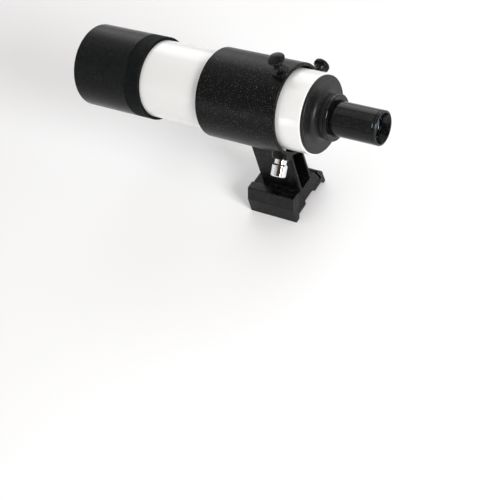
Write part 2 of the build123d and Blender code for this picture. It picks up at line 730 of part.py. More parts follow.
with BuildPart() as eye_lens_crown:
    with BuildSketch(TURNED):
        with BuildLine():
            Line((EYE_JOIN, 0), (EYE_TIP, 0))
            ThreePointArc(
                (EYE_TIP, 0),
                (EYE_TIP + bulge(EYE_BACK_CURVE, EYE_FACE_R / 2), EYE_FACE_R / 2),
                (EYE_TIP + bulge(EYE_BACK_CURVE, EYE_FACE_R), EYE_FACE_R),
            )
            Polyline(
                (EYE_TIP + bulge(EYE_BACK_CURVE, EYE_FACE_R), EYE_FACE_R),
                (EYE_RIM, EYE_RIM_R),
                (EYE_RIM, SMALL_LENS_R),
                (EYE_JOIN_EDGE, SMALL_LENS_R),
            )
            ThreePointArc(
                (EYE_JOIN_EDGE, SMALL_LENS_R),
                (EYE_JOIN - bulge(EYE_CURVE, SMALL_LENS_R / 2), SMALL_LENS_R / 2),
                (EYE_JOIN, 0),
            )
        make_face()
    revolve(axis=TUBE_AXIS)
save(eye_lens_crown, "eye_lens_crown")

with BuildPart() as eye_lens_flint:
    with BuildSketch(TURNED):
        with BuildLine():
            ThreePointArc(
                (EYE_JOIN_EDGE, SMALL_LENS_R),
                (EYE_JOIN - bulge(EYE_CURVE, SMALL_LENS_R / 2), SMALL_LENS_R / 2),
                (EYE_JOIN, 0),
            )
            Polyline(
                (EYE_JOIN, 0),
                (EYE_FRONT, 0),
                (EYE_FRONT, SMALL_LENS_R),
                (EYE_JOIN_EDGE, SMALL_LENS_R),
            )
        make_face()
    revolve(axis=TUBE_AXIS)
save(eye_lens_flint, "eye_lens_flint")

FIELD_REAR = -75.0
FIELD_FRONT = -71.4
FIELD_CURVE = 26.0
FIELD_EDGE = FIELD_FRONT - bulge(FIELD_CURVE, SMALL_LENS_R)

SPACER_BORE_R = 9.2

with BuildPart() as eyepiece_spacer:
    with BuildSketch(TURNED):
        Polygon(
            (EYE_FRONT, SPACER_BORE_R),
            (EYE_FRONT, SMALL_LENS_R),
            (FIELD_REAR, SMALL_LENS_R),
            (FIELD_REAR, SPACER_BORE_R),
            align=None,
        )
    revolve(axis=TUBE_AXIS)
save(eyepiece_spacer, "eyepiece_spacer")

with BuildPart() as field_lens:
    with BuildSketch(TURNED):
        with BuildLine():
            Polyline(
                (FIELD_FRONT, 0),
                (FIELD_REAR, 0),
                (FIELD_REAR, SMALL_LENS_R),
                (FIELD_EDGE, SMALL_LENS_R),
            )
            ThreePointArc(
                (FIELD_EDGE, SMALL_LENS_R),
                (FIELD_FRONT - bulge(FIELD_CURVE, SMALL_LENS_R / 2), SMALL_LENS_R / 2),
                (FIELD_FRONT, 0),
            )
        make_face()
    revolve(axis=TUBE_AXIS)
save(field_lens, "field_lens")

STOP_REAR = FIELD_FRONT
STOP_FRONT = -62.0
STOP_BORE_R = 8.0
STOP_LIP = -66.0
STOP_LIP_FRONT = STOP_LIP + 0.8
STOP_TUBE_BORE_R = 9.4

with BuildPart() as field_stop_ring:
    with BuildSketch(TURNED):
        Polygon(
            (STOP_REAR, STOP_TUBE_BORE_R),
            (STOP_REAR, SMALL_LENS_R),
            (STOP_FRONT, SMALL_LENS_R),
            (STOP_FRONT, STOP_TUBE_BORE_R),
            (STOP_LIP_FRONT, STOP_TUBE_BORE_R),
            (STOP_LIP_FRONT, STOP_BORE_R),
            (STOP_LIP, STOP_BORE_R),
            (STOP_LIP, STOP_TUBE_BORE_R),
            align=None,
        )
    revolve(axis=TUBE_AXIS)
save(field_stop_ring, "field_stop_ring")

WIRE_HALF = 0.06
WIRE_REACH = 9.0

with BuildPart() as crosshair:
    with BuildSketch(Plane.XZ.offset(-(STOP_LIP_FRONT + 2 * WIRE_HALF))):
        with Locations((0, AXIS_Z)):
            Rectangle(2 * WIRE_REACH, 2 * WIRE_HALF)
            Rectangle(2 * WIRE_HALF, 2 * WIRE_REACH)
    extrude(amount=2 * WIRE_HALF)
save(crosshair, "crosshair")
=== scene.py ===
"""Looks of a straight-through finder scope in its ring bracket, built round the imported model.

Sizes in this file are in millimetres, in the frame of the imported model: +Y looks along the
optical axis towards the sky, +Z is up out of the shoe and +X is the clamp-screw side. The
meshes themselves are in metres.
"""

import logging
import math
from collections.abc import Callable
from dataclasses import dataclass, field
from enum import Enum

import bpy
from mathutils import Matrix, Vector


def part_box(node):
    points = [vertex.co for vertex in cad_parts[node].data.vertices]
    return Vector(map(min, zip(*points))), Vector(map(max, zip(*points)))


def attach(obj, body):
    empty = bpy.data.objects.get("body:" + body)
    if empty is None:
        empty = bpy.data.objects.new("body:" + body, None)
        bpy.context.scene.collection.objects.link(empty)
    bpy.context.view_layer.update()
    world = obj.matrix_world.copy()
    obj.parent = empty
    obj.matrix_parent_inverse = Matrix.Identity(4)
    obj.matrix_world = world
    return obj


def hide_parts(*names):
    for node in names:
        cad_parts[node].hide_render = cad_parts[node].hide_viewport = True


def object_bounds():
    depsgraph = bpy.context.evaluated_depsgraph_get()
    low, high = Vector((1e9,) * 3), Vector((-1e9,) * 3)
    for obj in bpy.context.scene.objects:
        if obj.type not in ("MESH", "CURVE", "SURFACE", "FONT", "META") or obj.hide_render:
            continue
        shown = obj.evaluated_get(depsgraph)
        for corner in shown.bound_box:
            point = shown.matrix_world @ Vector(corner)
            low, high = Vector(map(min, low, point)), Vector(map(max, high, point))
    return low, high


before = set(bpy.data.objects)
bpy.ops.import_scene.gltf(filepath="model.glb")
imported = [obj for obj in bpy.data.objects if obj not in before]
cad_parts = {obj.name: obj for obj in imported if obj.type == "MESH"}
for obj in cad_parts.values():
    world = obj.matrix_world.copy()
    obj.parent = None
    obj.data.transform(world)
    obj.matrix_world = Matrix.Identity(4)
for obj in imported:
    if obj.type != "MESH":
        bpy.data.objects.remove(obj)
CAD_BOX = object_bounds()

LOG = logging.getLogger("finder_scope")

MM = 0.001
FULL_TURN = 2 * math.pi
SMOOTH_ANGLE = math.radians(35)
WELD = 0.002 * MM
SCREW_PITCH = 0.7
PIN_HOLE = 0.3
WHITE = (1.0, 1.0, 1.0)

Outline = list[Vector]
Rgb = tuple[float, float, float]


def grey(level: float) -> Rgb:
    """A neutral colour."""
    return (level, level, level)


class Body(Enum):
    """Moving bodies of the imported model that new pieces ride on."""

    CLAMP_ROD = "clamp_rod"
    CLAMP_KNOB = "clamp_knob"
    BRACKET = "bracket"
    TOP_ROD = "top_rod"
    TOP_KNOB = "top_knob"
    SIDE_ROD = "side_rod"
    SIDE_KNOB = "side_knob"
    TUBE = "tube"
    LOCK_RING = "lock_ring"
    OBJECTIVE = "objective"
    CELL = "cell"


class Slot(Enum):
    """Material slots of the record."""

    SHOE = "shoe_black"
    BRACKET = "bracket_black"
    KNOB = "knob_black"
    SCREW = "screw_steel"
    PLATED = "plated_chrome"
    PIN = "pin_nylon"
    SPRING = "spring_steel"
    SEAT = "seat_rubber"
    TUBE = "tube_white"
    LOCK_RING = "ring_black"
    CELL = "cell_black"
    PLATE = "plate_black"
    EYEPIECE = "eyepiece_black"
    INNER = "inner_black"
    GLASS = "lens_glass"


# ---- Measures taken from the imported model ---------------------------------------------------


@dataclass(frozen=True)
class Extent:
    """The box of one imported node, in millimetres."""

    low: Vector
    high: Vector

    @classmethod
    def of(cls, node: str) -> "Extent":
        """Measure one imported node."""
        low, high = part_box(node)
        return cls(low / MM, high / MM)

    @property
    def middle(self) -> Vector:
        """Centre of the box."""
        return (self.low + self.high) / 2

    @property
    def radius(self) -> float:
        """Radius of a node that is turned about the optical axis."""
        return (self.high.x - self.low.x) / 2


def measured(node: str) -> Extent:
    """Field of a sub-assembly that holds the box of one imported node."""
    return field(default_factory=lambda: Extent.of(node))


@dataclass(frozen=True)
class TurningLine:
    """A line that turned pieces stand on; distances along it start at its origin."""

    origin: Vector
    direction: Vector

    def placement(self) -> Matrix:
        """Matrix, in metres, that carries local +Z onto the line."""
        turn = self.direction.to_track_quat("Z", "Y").to_matrix().to_4x4()
        return Matrix.Translation(self.origin * MM) @ turn


OPTICAL_AXIS = TurningLine(Vector((0, 0, Extent.of("main_tube").middle.z)), Vector((0, 1, 0)))
SUPPORTS_Y = Extent.of("align_knob_top").middle.y
SUPPORT_CENTRE = Vector((0, SUPPORTS_Y, OPTICAL_AXIS.origin.z))


# ---- Outlines -------------------------------------------------------------------------------


def outline(*points: tuple[float, float]) -> Outline:
    """Points of a half section, each a distance along the line and a radius."""
    return [Vector(point) for point in points]


def eased(corners: Outline, radius: float, steps: int = 3, closed: bool = True) -> Outline:
    """Round the corners of a half section.

    Args:
        corners: The sharp half section.
        radius: How far from each corner its curve starts.
        steps: Straight pieces in each curve.
        closed: Whether the last point joins the first.

    Returns:
        The half section with a short curve at every corner.
    """
    result: Outline = []
    last = len(corners) - 1
    for index, corner in enumerate(corners):
        if not closed and index in (0, last):
            result.append(corner)
            continue
        before = corners[index - 1] - corner
        after = corners[(index + 1) % len(corners)] - corner
        start = corner + before.normalized() * min(radius, 0.45 * before.length)
        end = corner + after.normalized() * min(radius, 0.45 * after.length)
        for step in range(steps + 1):
            share = step / steps
            result.append(start.lerp(corner, share).lerp(corner.lerp(end, share), share))
    return result


def cap(tip: float, rim: float, radius: float, steps: int = 14) -> Outline:
    """Points of a domed face, from its rim to close to its middle.

    Args:
        tip: Place of the face's middle along the line.
        rim: Place of its rim along the line.
        radius: Radius of the rim.
        steps: Number of rings.

    Returns:
        Points on a spherical cap, from the rim inwards.
    """
    rise = abs(tip - rim)
    curve = (radius * radius + rise * rise) / (2 * rise)
    side = 1 if tip > rim else -1
    points: Outline = []
    for step in range(steps + 1):
        at = radius * (1 - step / (steps + 0.3))
        depth = curve - math.sqrt(curve * curve - at * at)
        points.append(Vector((tip - side * depth, at)))
    return points


def grooves(start: float, end: float, radius: float, pitch: float, depth: float) -> Outline:
    """Points of a run of fine V grooves along a straight stretch of a half section.

    Args:
        start: Where the run starts along the line.
        end: Where it ends; it may lie on either side of the start.
        radius: Radius of the surface between the grooves.
        pitch: Distance from groove to groove.
        depth: Depth of a groove, added to the radius; negative on an outer surface.

    Returns:
        The points, from start to end.
    """
    count = max(1, int(abs(end - start) / pitch))
    step = (end - start) / count
    points: Outline = []
    for index in range(count):
        foot = start + index * step
        points.append(Vector((foot, radius)))
        points.append(Vector((foot + 0.3 * step, radius)))
        points.append(Vector((foot + 0.65 * step, radius + depth)))
    points.append(Vector((end, radius)))
    return points


# ---- Modelling steps ------------------------------------------------------------------------


def leave_edit() -> None:
    """Go back to object mode and deselect everything."""
    if bpy.context.object is not None and bpy.context.object.mode != "OBJECT":
        bpy.ops.object.mode_set(mode="OBJECT")
    bpy.ops.object.select_all(action="DESELECT")


def select_only(piece: bpy.types.Object) -> None:
    """Make one object the only selected and the active one."""
    leave_edit()
    piece.select_set(True)
    bpy.context.view_layer.objects.active = piece


def named(piece: bpy.types.Object, name: str) -> bpy.types.Object:
    """Name a piece and its mesh alike."""
    piece.name = name
    piece.data.name = name
    return piece


def select_vertices(piece: bpy.types.Object, chosen: Callable[[Vector], bool]) -> None:
    """Select the vertices that a test accepts, and enter edit mode.

    Args:
        piece: The mesh object.
        chosen: Test on a vertex's place in the object's own frame.
    """
    select_only(piece)
    bpy.ops.object.mode_set(mode="EDIT")
    bpy.ops.mesh.select_mode(type="VERT")
    bpy.ops.mesh.select_all(action="DESELECT")
    bpy.ops.object.mode_set(mode="OBJECT")
    for vertex in piece.data.vertices:
        vertex.select = chosen(vertex.co)
    bpy.ops.object.mode_set(mode="EDIT")


def face_outwards() -> None:
    """Turn every face of the mesh being edited outwards."""
    bpy.ops.mesh.select_all(action="SELECT")
    bpy.ops.mesh.normals_make_consistent(inside=False)


def copied(piece: bpy.types.Object, name: str) -> bpy.types.Object:
    """Copy a piece with its own mesh, under a new name."""
    select_only(piece)
    bpy.ops.object.duplicate(linked=False)
    return named(bpy.context.object, name)


def apply_place(piece: bpy.types.Object, place: Matrix) -> None:
    """Put a piece where a matrix says and leave its object at the origin."""
    select_only(piece)
    piece.matrix_world = place @ piece.matrix_world
    bpy.ops.object.transform_apply(location=True, rotation=True, scale=True)


def apply_modifier(piece: bpy.types.Object, kind: str, **settings: object) -> None:
    """Add a modifier with its settings and apply it.

    Args:
        piece: The mesh object.
        kind: Blender's type of modifier.
        settings: Values of the modifier, by name.
    """
    select_only(piece)
    bpy.ops.object.modifier_add(type=kind)
    modifier = piece.modifiers[-1]
    for name, value in settings.items():
        setattr(modifier, name, value)
    bpy.ops.object.modifier_apply(modifier=modifier.name)


def smoothed(piece: bpy.types.Object) -> bpy.types.Object:
    """Shade smooth across small angles and keep flat faces flat."""
    select_only(piece)
    bpy.ops.object.shade_smooth_by_angle(angle=SMOOTH_ANGLE)
    apply_modifier(piece, "WEIGHTED_NORMAL", keep_sharp=True, weight=100)
    return piece


def place_rod(rod: bpy.types.Object, line: TurningLine) -> None:
    """Carry a threaded rod onto its line and shade it, with the thread's normals as they are."""
    apply_place(rod, line.placement())
    select_only(rod)
    bpy.ops.object.shade_smooth_by_angle(angle=SMOOTH_ANGLE)


@dataclass(frozen=True)
class Flutes:
    """Grooves along a turned surface, cut into every so many columns of its mesh."""

    teeth: int
    depth: float
    start: float
    end: float
    outside: float


@dataclass
class Lathe:
    """Turns half sections about a line, as rings extruded one after another."""

    line: TurningLine
    segments: int = 128

    def turn(self, name: str, section: Outline, hollow: bool = True) -> bpy.types.Object:
        """Turn one half section.

        Args:
            name: Name of the new piece.
            section: Points of the half section; a solid one leaves out its points on the line.
            hollow: Whether the last ring joins the first; if not, both ends are capped.

        Returns:
            The turned mesh, still in the lathe's own frame.
        """
        leave_edit()
        first = section[0]
        bpy.ops.mesh.primitive_circle_add(
            vertices=self.segments,
            radius=first.y * MM,
            location=(0, 0, first.x * MM),
            enter_editmode=True,
        )
        piece = named(bpy.context.object, name)
        at = first
        for point in section[1:] + ([first] if hollow else []):
            travel = (0, 0, (point.x - at.x) * MM)
            bpy.ops.mesh.extrude_region_move(TRANSFORM_OT_translate={"value": travel})
            scale = point.y / at.y
            bpy.ops.transform.resize(value=(scale, scale, 1), center_override=(0, 0, point.x * MM))
            at = point
        bpy.ops.mesh.select_all(action="SELECT")
        if hollow:
            bpy.ops.mesh.remove_doubles(threshold=WELD)
        else:
            bpy.ops.mesh.fill_holes(sides=0)
        face_outwards()
        select_only(piece)
        bpy.ops.object.transform_apply(location=True, rotation=True, scale=True)
        return piece

    def flute(self, piece: bpy.types.Object, flutes: Flutes) -> None:
        """Sink columns of a turned surface to make flutes or a straight knurl.

        Args:
            piece: A piece still in the lathe's own frame.
            flutes: The grooves.
        """
        per_tooth = self.segments // flutes.teeth
        for phase in range(1, per_tooth):
            sunk = flutes.depth * (1 - math.cos(FULL_TURN * phase / per_tooth)) / 2

            def in_groove(place: Vector, phase: int = phase) -> bool:
                """Whether a vertex lies in this column of each groove."""
                column = round(math.atan2(place.y, place.x) / FULL_TURN * self.segments)
                outside = math.hypot(place.x, place.y) > flutes.outside * MM
                inside_run = flutes.start * MM < place.z < flutes.end * MM
                return column % per_tooth == phase and outside and inside_run

            select_vertices(piece, in_groove)
            scale = 1 - sunk / flutes.outside
            bpy.ops.transform.resize(value=(scale, scale, 1), center_override=(0, 0, 0))
        leave_edit()

    def place(self, piece: bpy.types.Object) -> bpy.types.Object:
        """Carry a piece onto the lathe's line and finish its shading."""
        apply_place(piece, self.line.placement())
        return smoothed(piece)

    def make(self, name: str, section: Outline, hollow: bool = True) -> bpy.types.Object:
        """Turn a half section and carry it onto the line."""
        return self.place(self.turn(name, section, hollow))


@dataclass
class ThreadedRod:
    """A screw with a helical thread, wound, cut to length and closed."""

    radius: float
    pitch: float
    start: float
    end: float
    depth: float = 0.32
    crest: float = 0.12
    steps: int = 32

    def wind(self, name: str) -> bpy.types.Object:
        """Make the screw along local +Z.

        Args:
            name: Name of the new piece.

        Returns:
            The screw, in its own frame.
        """
        leave_edit()
        root = self.radius - self.depth
        slope = (self.pitch - self.crest * self.pitch) / 2
        bpy.ops.mesh.primitive_plane_add(size=MM, enter_editmode=True)
        piece = named(bpy.context.object, name)
        bpy.ops.mesh.merge(type="CENTER")
        bpy.ops.transform.translate(value=(root * MM, 0, (self.start - self.pitch) * MM))
        for out, along in (
            (self.depth, slope),
            (0, self.crest * self.pitch),
            (-self.depth, slope),
        ):
            bpy.ops.mesh.extrude_vertices_move(
                TRANSFORM_OT_translate={"value": (out * MM, 0, along * MM)}
            )
        apply_modifier(
            piece,
            "SCREW",
            axis="Z",
            angle=FULL_TURN,
            screw_offset=self.pitch * MM,
            iterations=math.ceil((self.end - self.start) / self.pitch) + 2,
            steps=self.steps,
            render_steps=self.steps,
        )
        select_only(piece)
        bpy.ops.object.mode_set(mode="EDIT")
        bpy.ops.mesh.select_all(action="SELECT")
        bpy.ops.mesh.remove_doubles(threshold=WELD)
        for height, outward in ((self.start, -1), (self.end, 1)):
            bpy.ops.mesh.select_all(action="SELECT")
            bpy.ops.mesh.bisect(
                plane_co=(0, 0, height * MM),
                plane_no=(0, 0, outward),
                use_fill=True,
                clear_outer=True,
            )
        face_outwards()
        select_vertices(piece, lambda place: place.z < (self.start + 0.02) * MM)
        bpy.ops.transform.resize(value=(0.75, 0.75, 1), center_override=(0, 0, self.start * MM))
        leave_edit()
        return piece


# ---- Materials ------------------------------------------------------------------------------


def set_inputs(node: bpy.types.Node, **values: object) -> None:
    """Set a node's inputs; an underscore in a name stands for a space, and a colour has three parts."""
    for name, value in values.items():
        whole = (*value, 1) if isinstance(value, tuple) else value
        node.inputs[name.replace("_", " ")].default_value = whole


def new_material(name: str) -> tuple[bpy.types.Material, bpy.types.Node]:
    """Open a material with nodes.

    Args:
        name: Name of the material.

    Returns:
        The material and its principled shader.
    """
    made = bpy.data.materials.new(name)
    made.use_nodes = True
    return made, made.node_tree.nodes["Principled BSDF"]


# ---- Shader node groups shared by the finishes ----------------------------------------------


@dataclass
class Graph:
    """A node tree being wired."""

    tree: bpy.types.NodeTree

    def node(self, kind: str, **settings: object) -> bpy.types.Node:
        """Add a node of a kind and set its properties."""
        made = self.tree.nodes.new(kind)
        for name, value in settings.items():
            setattr(made, name, value)
        return made

    def effect(self, effect: "Effect") -> bpy.types.Node:
        """Place a shared group."""
        return self.node("ShaderNodeGroup", node_tree=bpy.data.node_groups[effect.value])

    def link(self, source: bpy.types.NodeSocket, target: bpy.types.NodeSocket) -> None:
        """Wire an output to an input."""
        self.tree.links.new(source, target)

    def math(self, operation: str, *values: object, clamp: bool = False) -> bpy.types.NodeSocket:
        """Add a Math node.

        Args:
            operation: Blender's name of the operation.
            values: Its inputs, as sockets or numbers.
            clamp: Whether the result stays between 0 and 1.

        Returns:
            The node's output.
        """
        made = self.node("ShaderNodeMath", operation=operation, use_clamp=clamp)
        for index, value in enumerate(values):
            if isinstance(value, bpy.types.NodeSocket):
                self.link(value, made.inputs[index])
            else:
                made.inputs[index].default_value = value
        return made.outputs[0]

    def remap(self, value: bpy.types.NodeSocket, low: object, high: object) -> bpy.types.NodeSocket:
        """Stretch a value between two limits over 0 to 1, with soft ends."""
        made = self.node("ShaderNodeMapRange", interpolation_type="SMOOTHSTEP")
        self.link(value, made.inputs["Value"])
        for name, limit in (("From Min", low), ("From Max", high)):
            if isinstance(limit, bpy.types.NodeSocket):
                self.link(limit, made.inputs[name])
            else:
                made.inputs[name].default_value = limit
        return made.outputs["Result"]

    def mix_colour(self, share: bpy.types.NodeSocket, first: object, second: object) -> bpy.types.NodeSocket:
        """Mix two colours by a mask.

        Args:
            share: Mask, 0 for the first colour and 1 for the second.
            first: A colour or a colour socket.
            second: A colour or a colour socket.

        Returns:
            The mixed colour.
        """
        made = self.node("ShaderNodeMix", data_type="RGBA")
        self.link(share, made.inputs["Factor"])
        for socket, value in ((made.inputs[6], first), (made.inputs[7], second)):
            if isinstance(value, bpy.types.NodeSocket):
                self.link(value, socket)
            else:
                socket.default_value = (*value, 1)
        return made.outputs[2]


@dataclass
class GroupDraft:
    """A shader node group with named inputs and outputs."""

    name: str
    inputs: dict[str, float]
    outputs: list[str]
    graph: Graph = field(init=False)
    given: bpy.types.Node = field(init=False)
    result: bpy.types.Node = field(init=False)

    def __post_init__(self) -> None:
        """Open the group and make its sockets."""
        tree = bpy.data.node_groups.new(self.name, "ShaderNodeTree")
        for name, value in self.inputs.items():
            socket = tree.interface.new_socket(name, in_out="INPUT", socket_type="NodeSocketFloat")
            socket.default_value = value
        for name in self.outputs:
            tree.interface.new_socket(name, in_out="OUTPUT", socket_type="NodeSocketFloat")
        self.graph = Graph(tree)
        self.given = self.graph.node("NodeGroupInput")
        self.result = self.graph.node("NodeGroupOutput")

    def noise(self, scale: object, detail: float, seed: float) -> bpy.types.NodeSocket:
        """Add a noise on the piece's own coordinates.

        Args:
            scale: Cells in a metre, as a number or a socket.
            detail: Octaves.
            seed: Offset that makes one noise unlike another.

        Returns:
            The noise, about 0.5 on average.
        """
        graph = self.graph
        place = graph.node("ShaderNodeTexCoord").outputs["Object"]
        shifted = graph.node("ShaderNodeVectorMath", operation="ADD")
        graph.link(place, shifted.inputs[0])
        shifted.inputs[1].default_value = (seed, seed * 0.7, -seed)
        made = graph.node("ShaderNodeTexNoise")
        graph.link(shifted.outputs[0], made.inputs["Vector"])
        made.inputs["Detail"].default_value = detail
        if isinstance(scale, bpy.types.NodeSocket):
            graph.link(scale, made.inputs["Scale"])
        else:
            made.inputs["Scale"].default_value = scale
        return made.outputs["Fac"]


def fine_grain_group() -> bpy.types.NodeTree:
    """Grain of a coating: a height for the bump and a mask of tiny flecks, which on dark coatings carry
    painted glints.
    """
    draft = GroupDraft("Fine grain", {"Grains per metre": 2500.0, "Fleck limit": 0.7}, ["Height", "Flecks and glints"])
    graph = draft.graph
    scale = draft.given.outputs["Grains per metre"]
    limit = draft.given.outputs["Fleck limit"]
    height = draft.noise(scale, 2.0, 0.3)
    flecks = draft.noise(graph.math("MULTIPLY", scale, 1.7), 0.0, 1.9)
    graph.link(height, draft.result.inputs["Height"])
    upper = graph.math("ADD", limit, 0.06)
    graph.link(graph.remap(flecks, limit, upper), draft.result.inputs["Flecks and glints"])
    return graph.tree


def worn_and_highlit_edge_group() -> bpy.types.NodeTree:
    """Mask of outer edges where a coating is worn thin and where a painted highlight lightens the edge,
    broken up by noise.
    """
    draft = GroupDraft("Worn edge", {"Radius": 0.0003, "Raggedness": 0.6}, ["Mask"])
    graph = draft.graph
    rounded = graph.node("ShaderNodeBevel", samples=4)
    graph.link(draft.given.outputs["Radius"], rounded.inputs["Radius"])
    plain = graph.node("ShaderNodeNewGeometry")
    meeting = graph.node("ShaderNodeVectorMath", operation="DOT_PRODUCT")
    graph.link(rounded.outputs["Normal"], meeting.inputs[0])
    graph.link(plain.outputs["Normal"], meeting.inputs[1])
    bend = graph.remap(graph.math("SUBTRACT", 1.0, meeting.outputs["Value"]), 0.02, 0.16)
    patches = graph.remap(draft.noise(420.0, 4.0, 5.1), 0.38, 0.66)
    ragged = draft.given.outputs["Raggedness"]
    kept = graph.math("SUBTRACT", 1.0, graph.math("MULTIPLY", ragged, patches), clamp=True)
    # The mask lightens the edges of dark pieces: worn coating and a painted edge highlight.
    graph.link(graph.math("MULTIPLY", bend, kept, clamp=True), draft.result.inputs["Mask"])
    return graph.tree


def handling_group() -> bpy.types.NodeTree:
    """Broad, faint patches left by handling, and a thin speckle of dust."""
    draft = GroupDraft("Handling", {"Patches per metre": 55.0}, ["Patches", "Dust"])
    graph = draft.graph
    patches = draft.noise(draft.given.outputs["Patches per metre"], 3.0, 8.4)
    graph.link(graph.remap(patches, 0.35, 0.7), draft.result.inputs["Patches"])
    dust = draft.noise(1900.0, 1.0, 3.7)
    graph.link(graph.remap(dust, 0.72, 0.8), draft.result.inputs["Dust"])
    return graph.tree


def turning_group() -> bpy.types.NodeTree:
    """Fine rings left by the lathe on pieces turned about the optical axis."""
    draft = GroupDraft("Turning lines", {"Lines per metre": 5200.0}, ["Height"])
    graph = draft.graph
    place = graph.node("ShaderNodeTexCoord").outputs["Object"]
    parts = graph.node("ShaderNodeSeparateXYZ")
    graph.link(place, parts.inputs[0])
    off_x = graph.math("POWER", parts.outputs["X"], 2.0)
    rise = graph.math("SUBTRACT", parts.outputs["Z"], OPTICAL_AXIS.origin.z * MM)
    across = graph.math("SQRT", graph.math("ADD", off_x, graph.math("POWER", rise, 2.0)))
    along = graph.math("ADD", parts.outputs["Y"], across)
    lines = graph.node("ShaderNodeTexNoise", noise_dimensions="1D")
    graph.link(graph.math("MULTIPLY", along, draft.given.outputs["Lines per metre"]), lines.inputs["W"])
    lines.inputs["Scale"].default_value = 1.0
    lines.inputs["Detail"].default_value = 2.0
    graph.link(lines.outputs["Fac"], draft.result.inputs["Height"])
    return graph.tree


class Effect(Enum):
    """The shared shader node groups."""

    GRAIN = "Fine grain"
    EDGE = "Worn edge"
    HANDLING = "Handling"
    TURNING = "Turning lines"


# ---- Finishes -------------------------------------------------------------------------------


@dataclass(frozen=True)
class Surface:
    """A solid finish: a coating or a bare metal, with its grain, rings, wear and handling; on dark coatings
    the pale flecks are painted glints and the lighter edges are partly a painted edge highlight.
    """

    colour: Rgb
    roughness: float
    metallic: float = 0.0
    coat: float = 0.0
    coat_roughness: float = 0.05
    specular: float = 0.5
    grains: float = 2500.0
    grain_depth: float = 0.000004
    fleck_limit: float = 0.75
    # Pale flecks on dark finishes are painted glints, not a colour of the coating.
    fleck_and_glint_colour: Rgb = grey(0.2)
    ring_depth: float = 0.0
    edge_radius: float = 0.0003
    # Edge colour: worn coating, and on dark finishes also a painted highlight along the edges.
    edge_wear_and_highlight_colour: Rgb = grey(0.25)
    edge_wear_and_highlight_share: float = 0.3
    roughness_spread: float = 0.03
    dust_share: float = 0.01

    def material(self, name: str) -> bpy.types.Material:
        """Build the material.

        Args:
            name: Name of the record's slot.

        Returns:
            A material whose patterns stand on the piece's own coordinates.
        """
        made, shader = new_material(name)
        graph = Graph(made.node_tree)
        set_inputs(
            shader,
            Metallic=self.metallic,
            Specular_IOR_Level=self.specular,
            Coat_Weight=self.coat,
            Coat_Roughness=self.coat_roughness,
        )
        grain = graph.effect(Effect.GRAIN)
        set_inputs(grain, Grains_per_metre=self.grains, Fleck_limit=self.fleck_limit)
        edge = graph.effect(Effect.EDGE)
        set_inputs(edge, Radius=self.edge_radius)
        handling = graph.effect(Effect.HANDLING)
        self._paint(graph, shader, grain, edge, handling)
        self._roughen(graph, shader, edge, handling)
        self._relief(graph, shader, grain)
        return made

    def _paint(
        self,
        graph: Graph,
        shader: bpy.types.Node,
        grain: bpy.types.Node,
        edge: bpy.types.Node,
        handling: bpy.types.Node,
    ) -> None:
        """Lay flecks, dust and worn edges over the colour; on dark coatings the pale flecks are painted
        glints and the lighter edges partly a painted edge highlight.
        """
        # On dark coatings the pale fleck colour is a painted glint.
        flecked_and_glinting = graph.mix_colour(grain.outputs["Flecks and glints"], self.colour, self.fleck_and_glint_colour)
        dust = graph.math("MULTIPLY", handling.outputs["Dust"], self.dust_share)
        dusted = graph.mix_colour(dust, flecked_and_glinting, (0.45, 0.43, 0.4))
        # The edge colour laid here is wear and, on dark pieces, a painted edge highlight.
        rubbed_and_highlit = graph.math("MULTIPLY", edge.outputs["Mask"], self.edge_wear_and_highlight_share)
        graph.link(graph.mix_colour(rubbed_and_highlit, dusted, self.edge_wear_and_highlight_colour), shader.inputs["Base Color"])

    def _roughen(
        self, graph: Graph, shader: bpy.types.Node, edge: bpy.types.Node, handling: bpy.types.Node
    ) -> None:
        """Vary the roughness with handling and polish it a little at the edges."""
        patches = graph.math("SUBTRACT", handling.outputs["Patches"], 0.5)
        varied = graph.math("MULTIPLY_ADD", patches, self.roughness_spread, self.roughness)
        polish = graph.math("MULTIPLY", edge.outputs["Mask"], -0.06)
        graph.link(graph.math("ADD", varied, polish, clamp=True), shader.inputs["Roughness"])

    def _relief(self, graph: Graph, shader: bpy.types.Node, grain: bpy.types.Node) -> None:
        """Raise the grain and, on turned pieces, the lathe's fine rings."""
        height = graph.math("MULTIPLY", grain.outputs["Height"], self.grain_depth / MM)
        if self.ring_depth:
            rings = graph.effect(Effect.TURNING)
            raised = graph.math("MULTIPLY", rings.outputs["Height"], self.ring_depth / MM)
            height = graph.math("ADD", height, raised)
        bump = graph.node("ShaderNodeBump")
        bump.inputs["Distance"].default_value = MM
        graph.link(height, bump.inputs["Height"])
        graph.link(bump.outputs["Normal"], shader.inputs["Normal"])


@dataclass(frozen=True)
class Glass:
    """Coated optical glass."""

    colour: Rgb = (0.96, 0.99, 0.97)
    ior: float = 1.52
    specular: float = 0.12
    specular_tint: Rgb = (0.55, 0.75, 1.0)

    def material(self, name: str) -> bpy.types.Material:
        """Build the material, with faint handling patches in its polish."""
        made, shader = new_material(name)
        graph = Graph(made.node_tree)
        set_inputs(
            shader,
            Base_Color=self.colour,
            Transmission_Weight=1.0,
            IOR=self.ior,
            Specular_IOR_Level=self.specular,
            Specular_Tint=self.specular_tint,
        )
        handling = graph.effect(Effect.HANDLING)
        haze = graph.math("MULTIPLY_ADD", handling.outputs["Patches"], 0.015, 0.005)
        graph.link(haze, shader.inputs["Roughness"])
        return made


# Its pale flecks are painted sparkle: glints painted into the colour, so they show all over the coat, not
# only where light grazes.
POWDER_COAT = Surface(
    colour=(0.0018, 0.0019, 0.0018),
    roughness=0.32,
    specular=0.12,
    grains=1500,
    grain_depth=0.000009,
    fleck_limit=0.748,
    fleck_and_glint_colour=(0.2, 0.2, 0.195),
    edge_radius=0.0005,
    edge_wear_and_highlight_colour=(0.11, 0.11, 0.105),
    edge_wear_and_highlight_share=0.3,
)

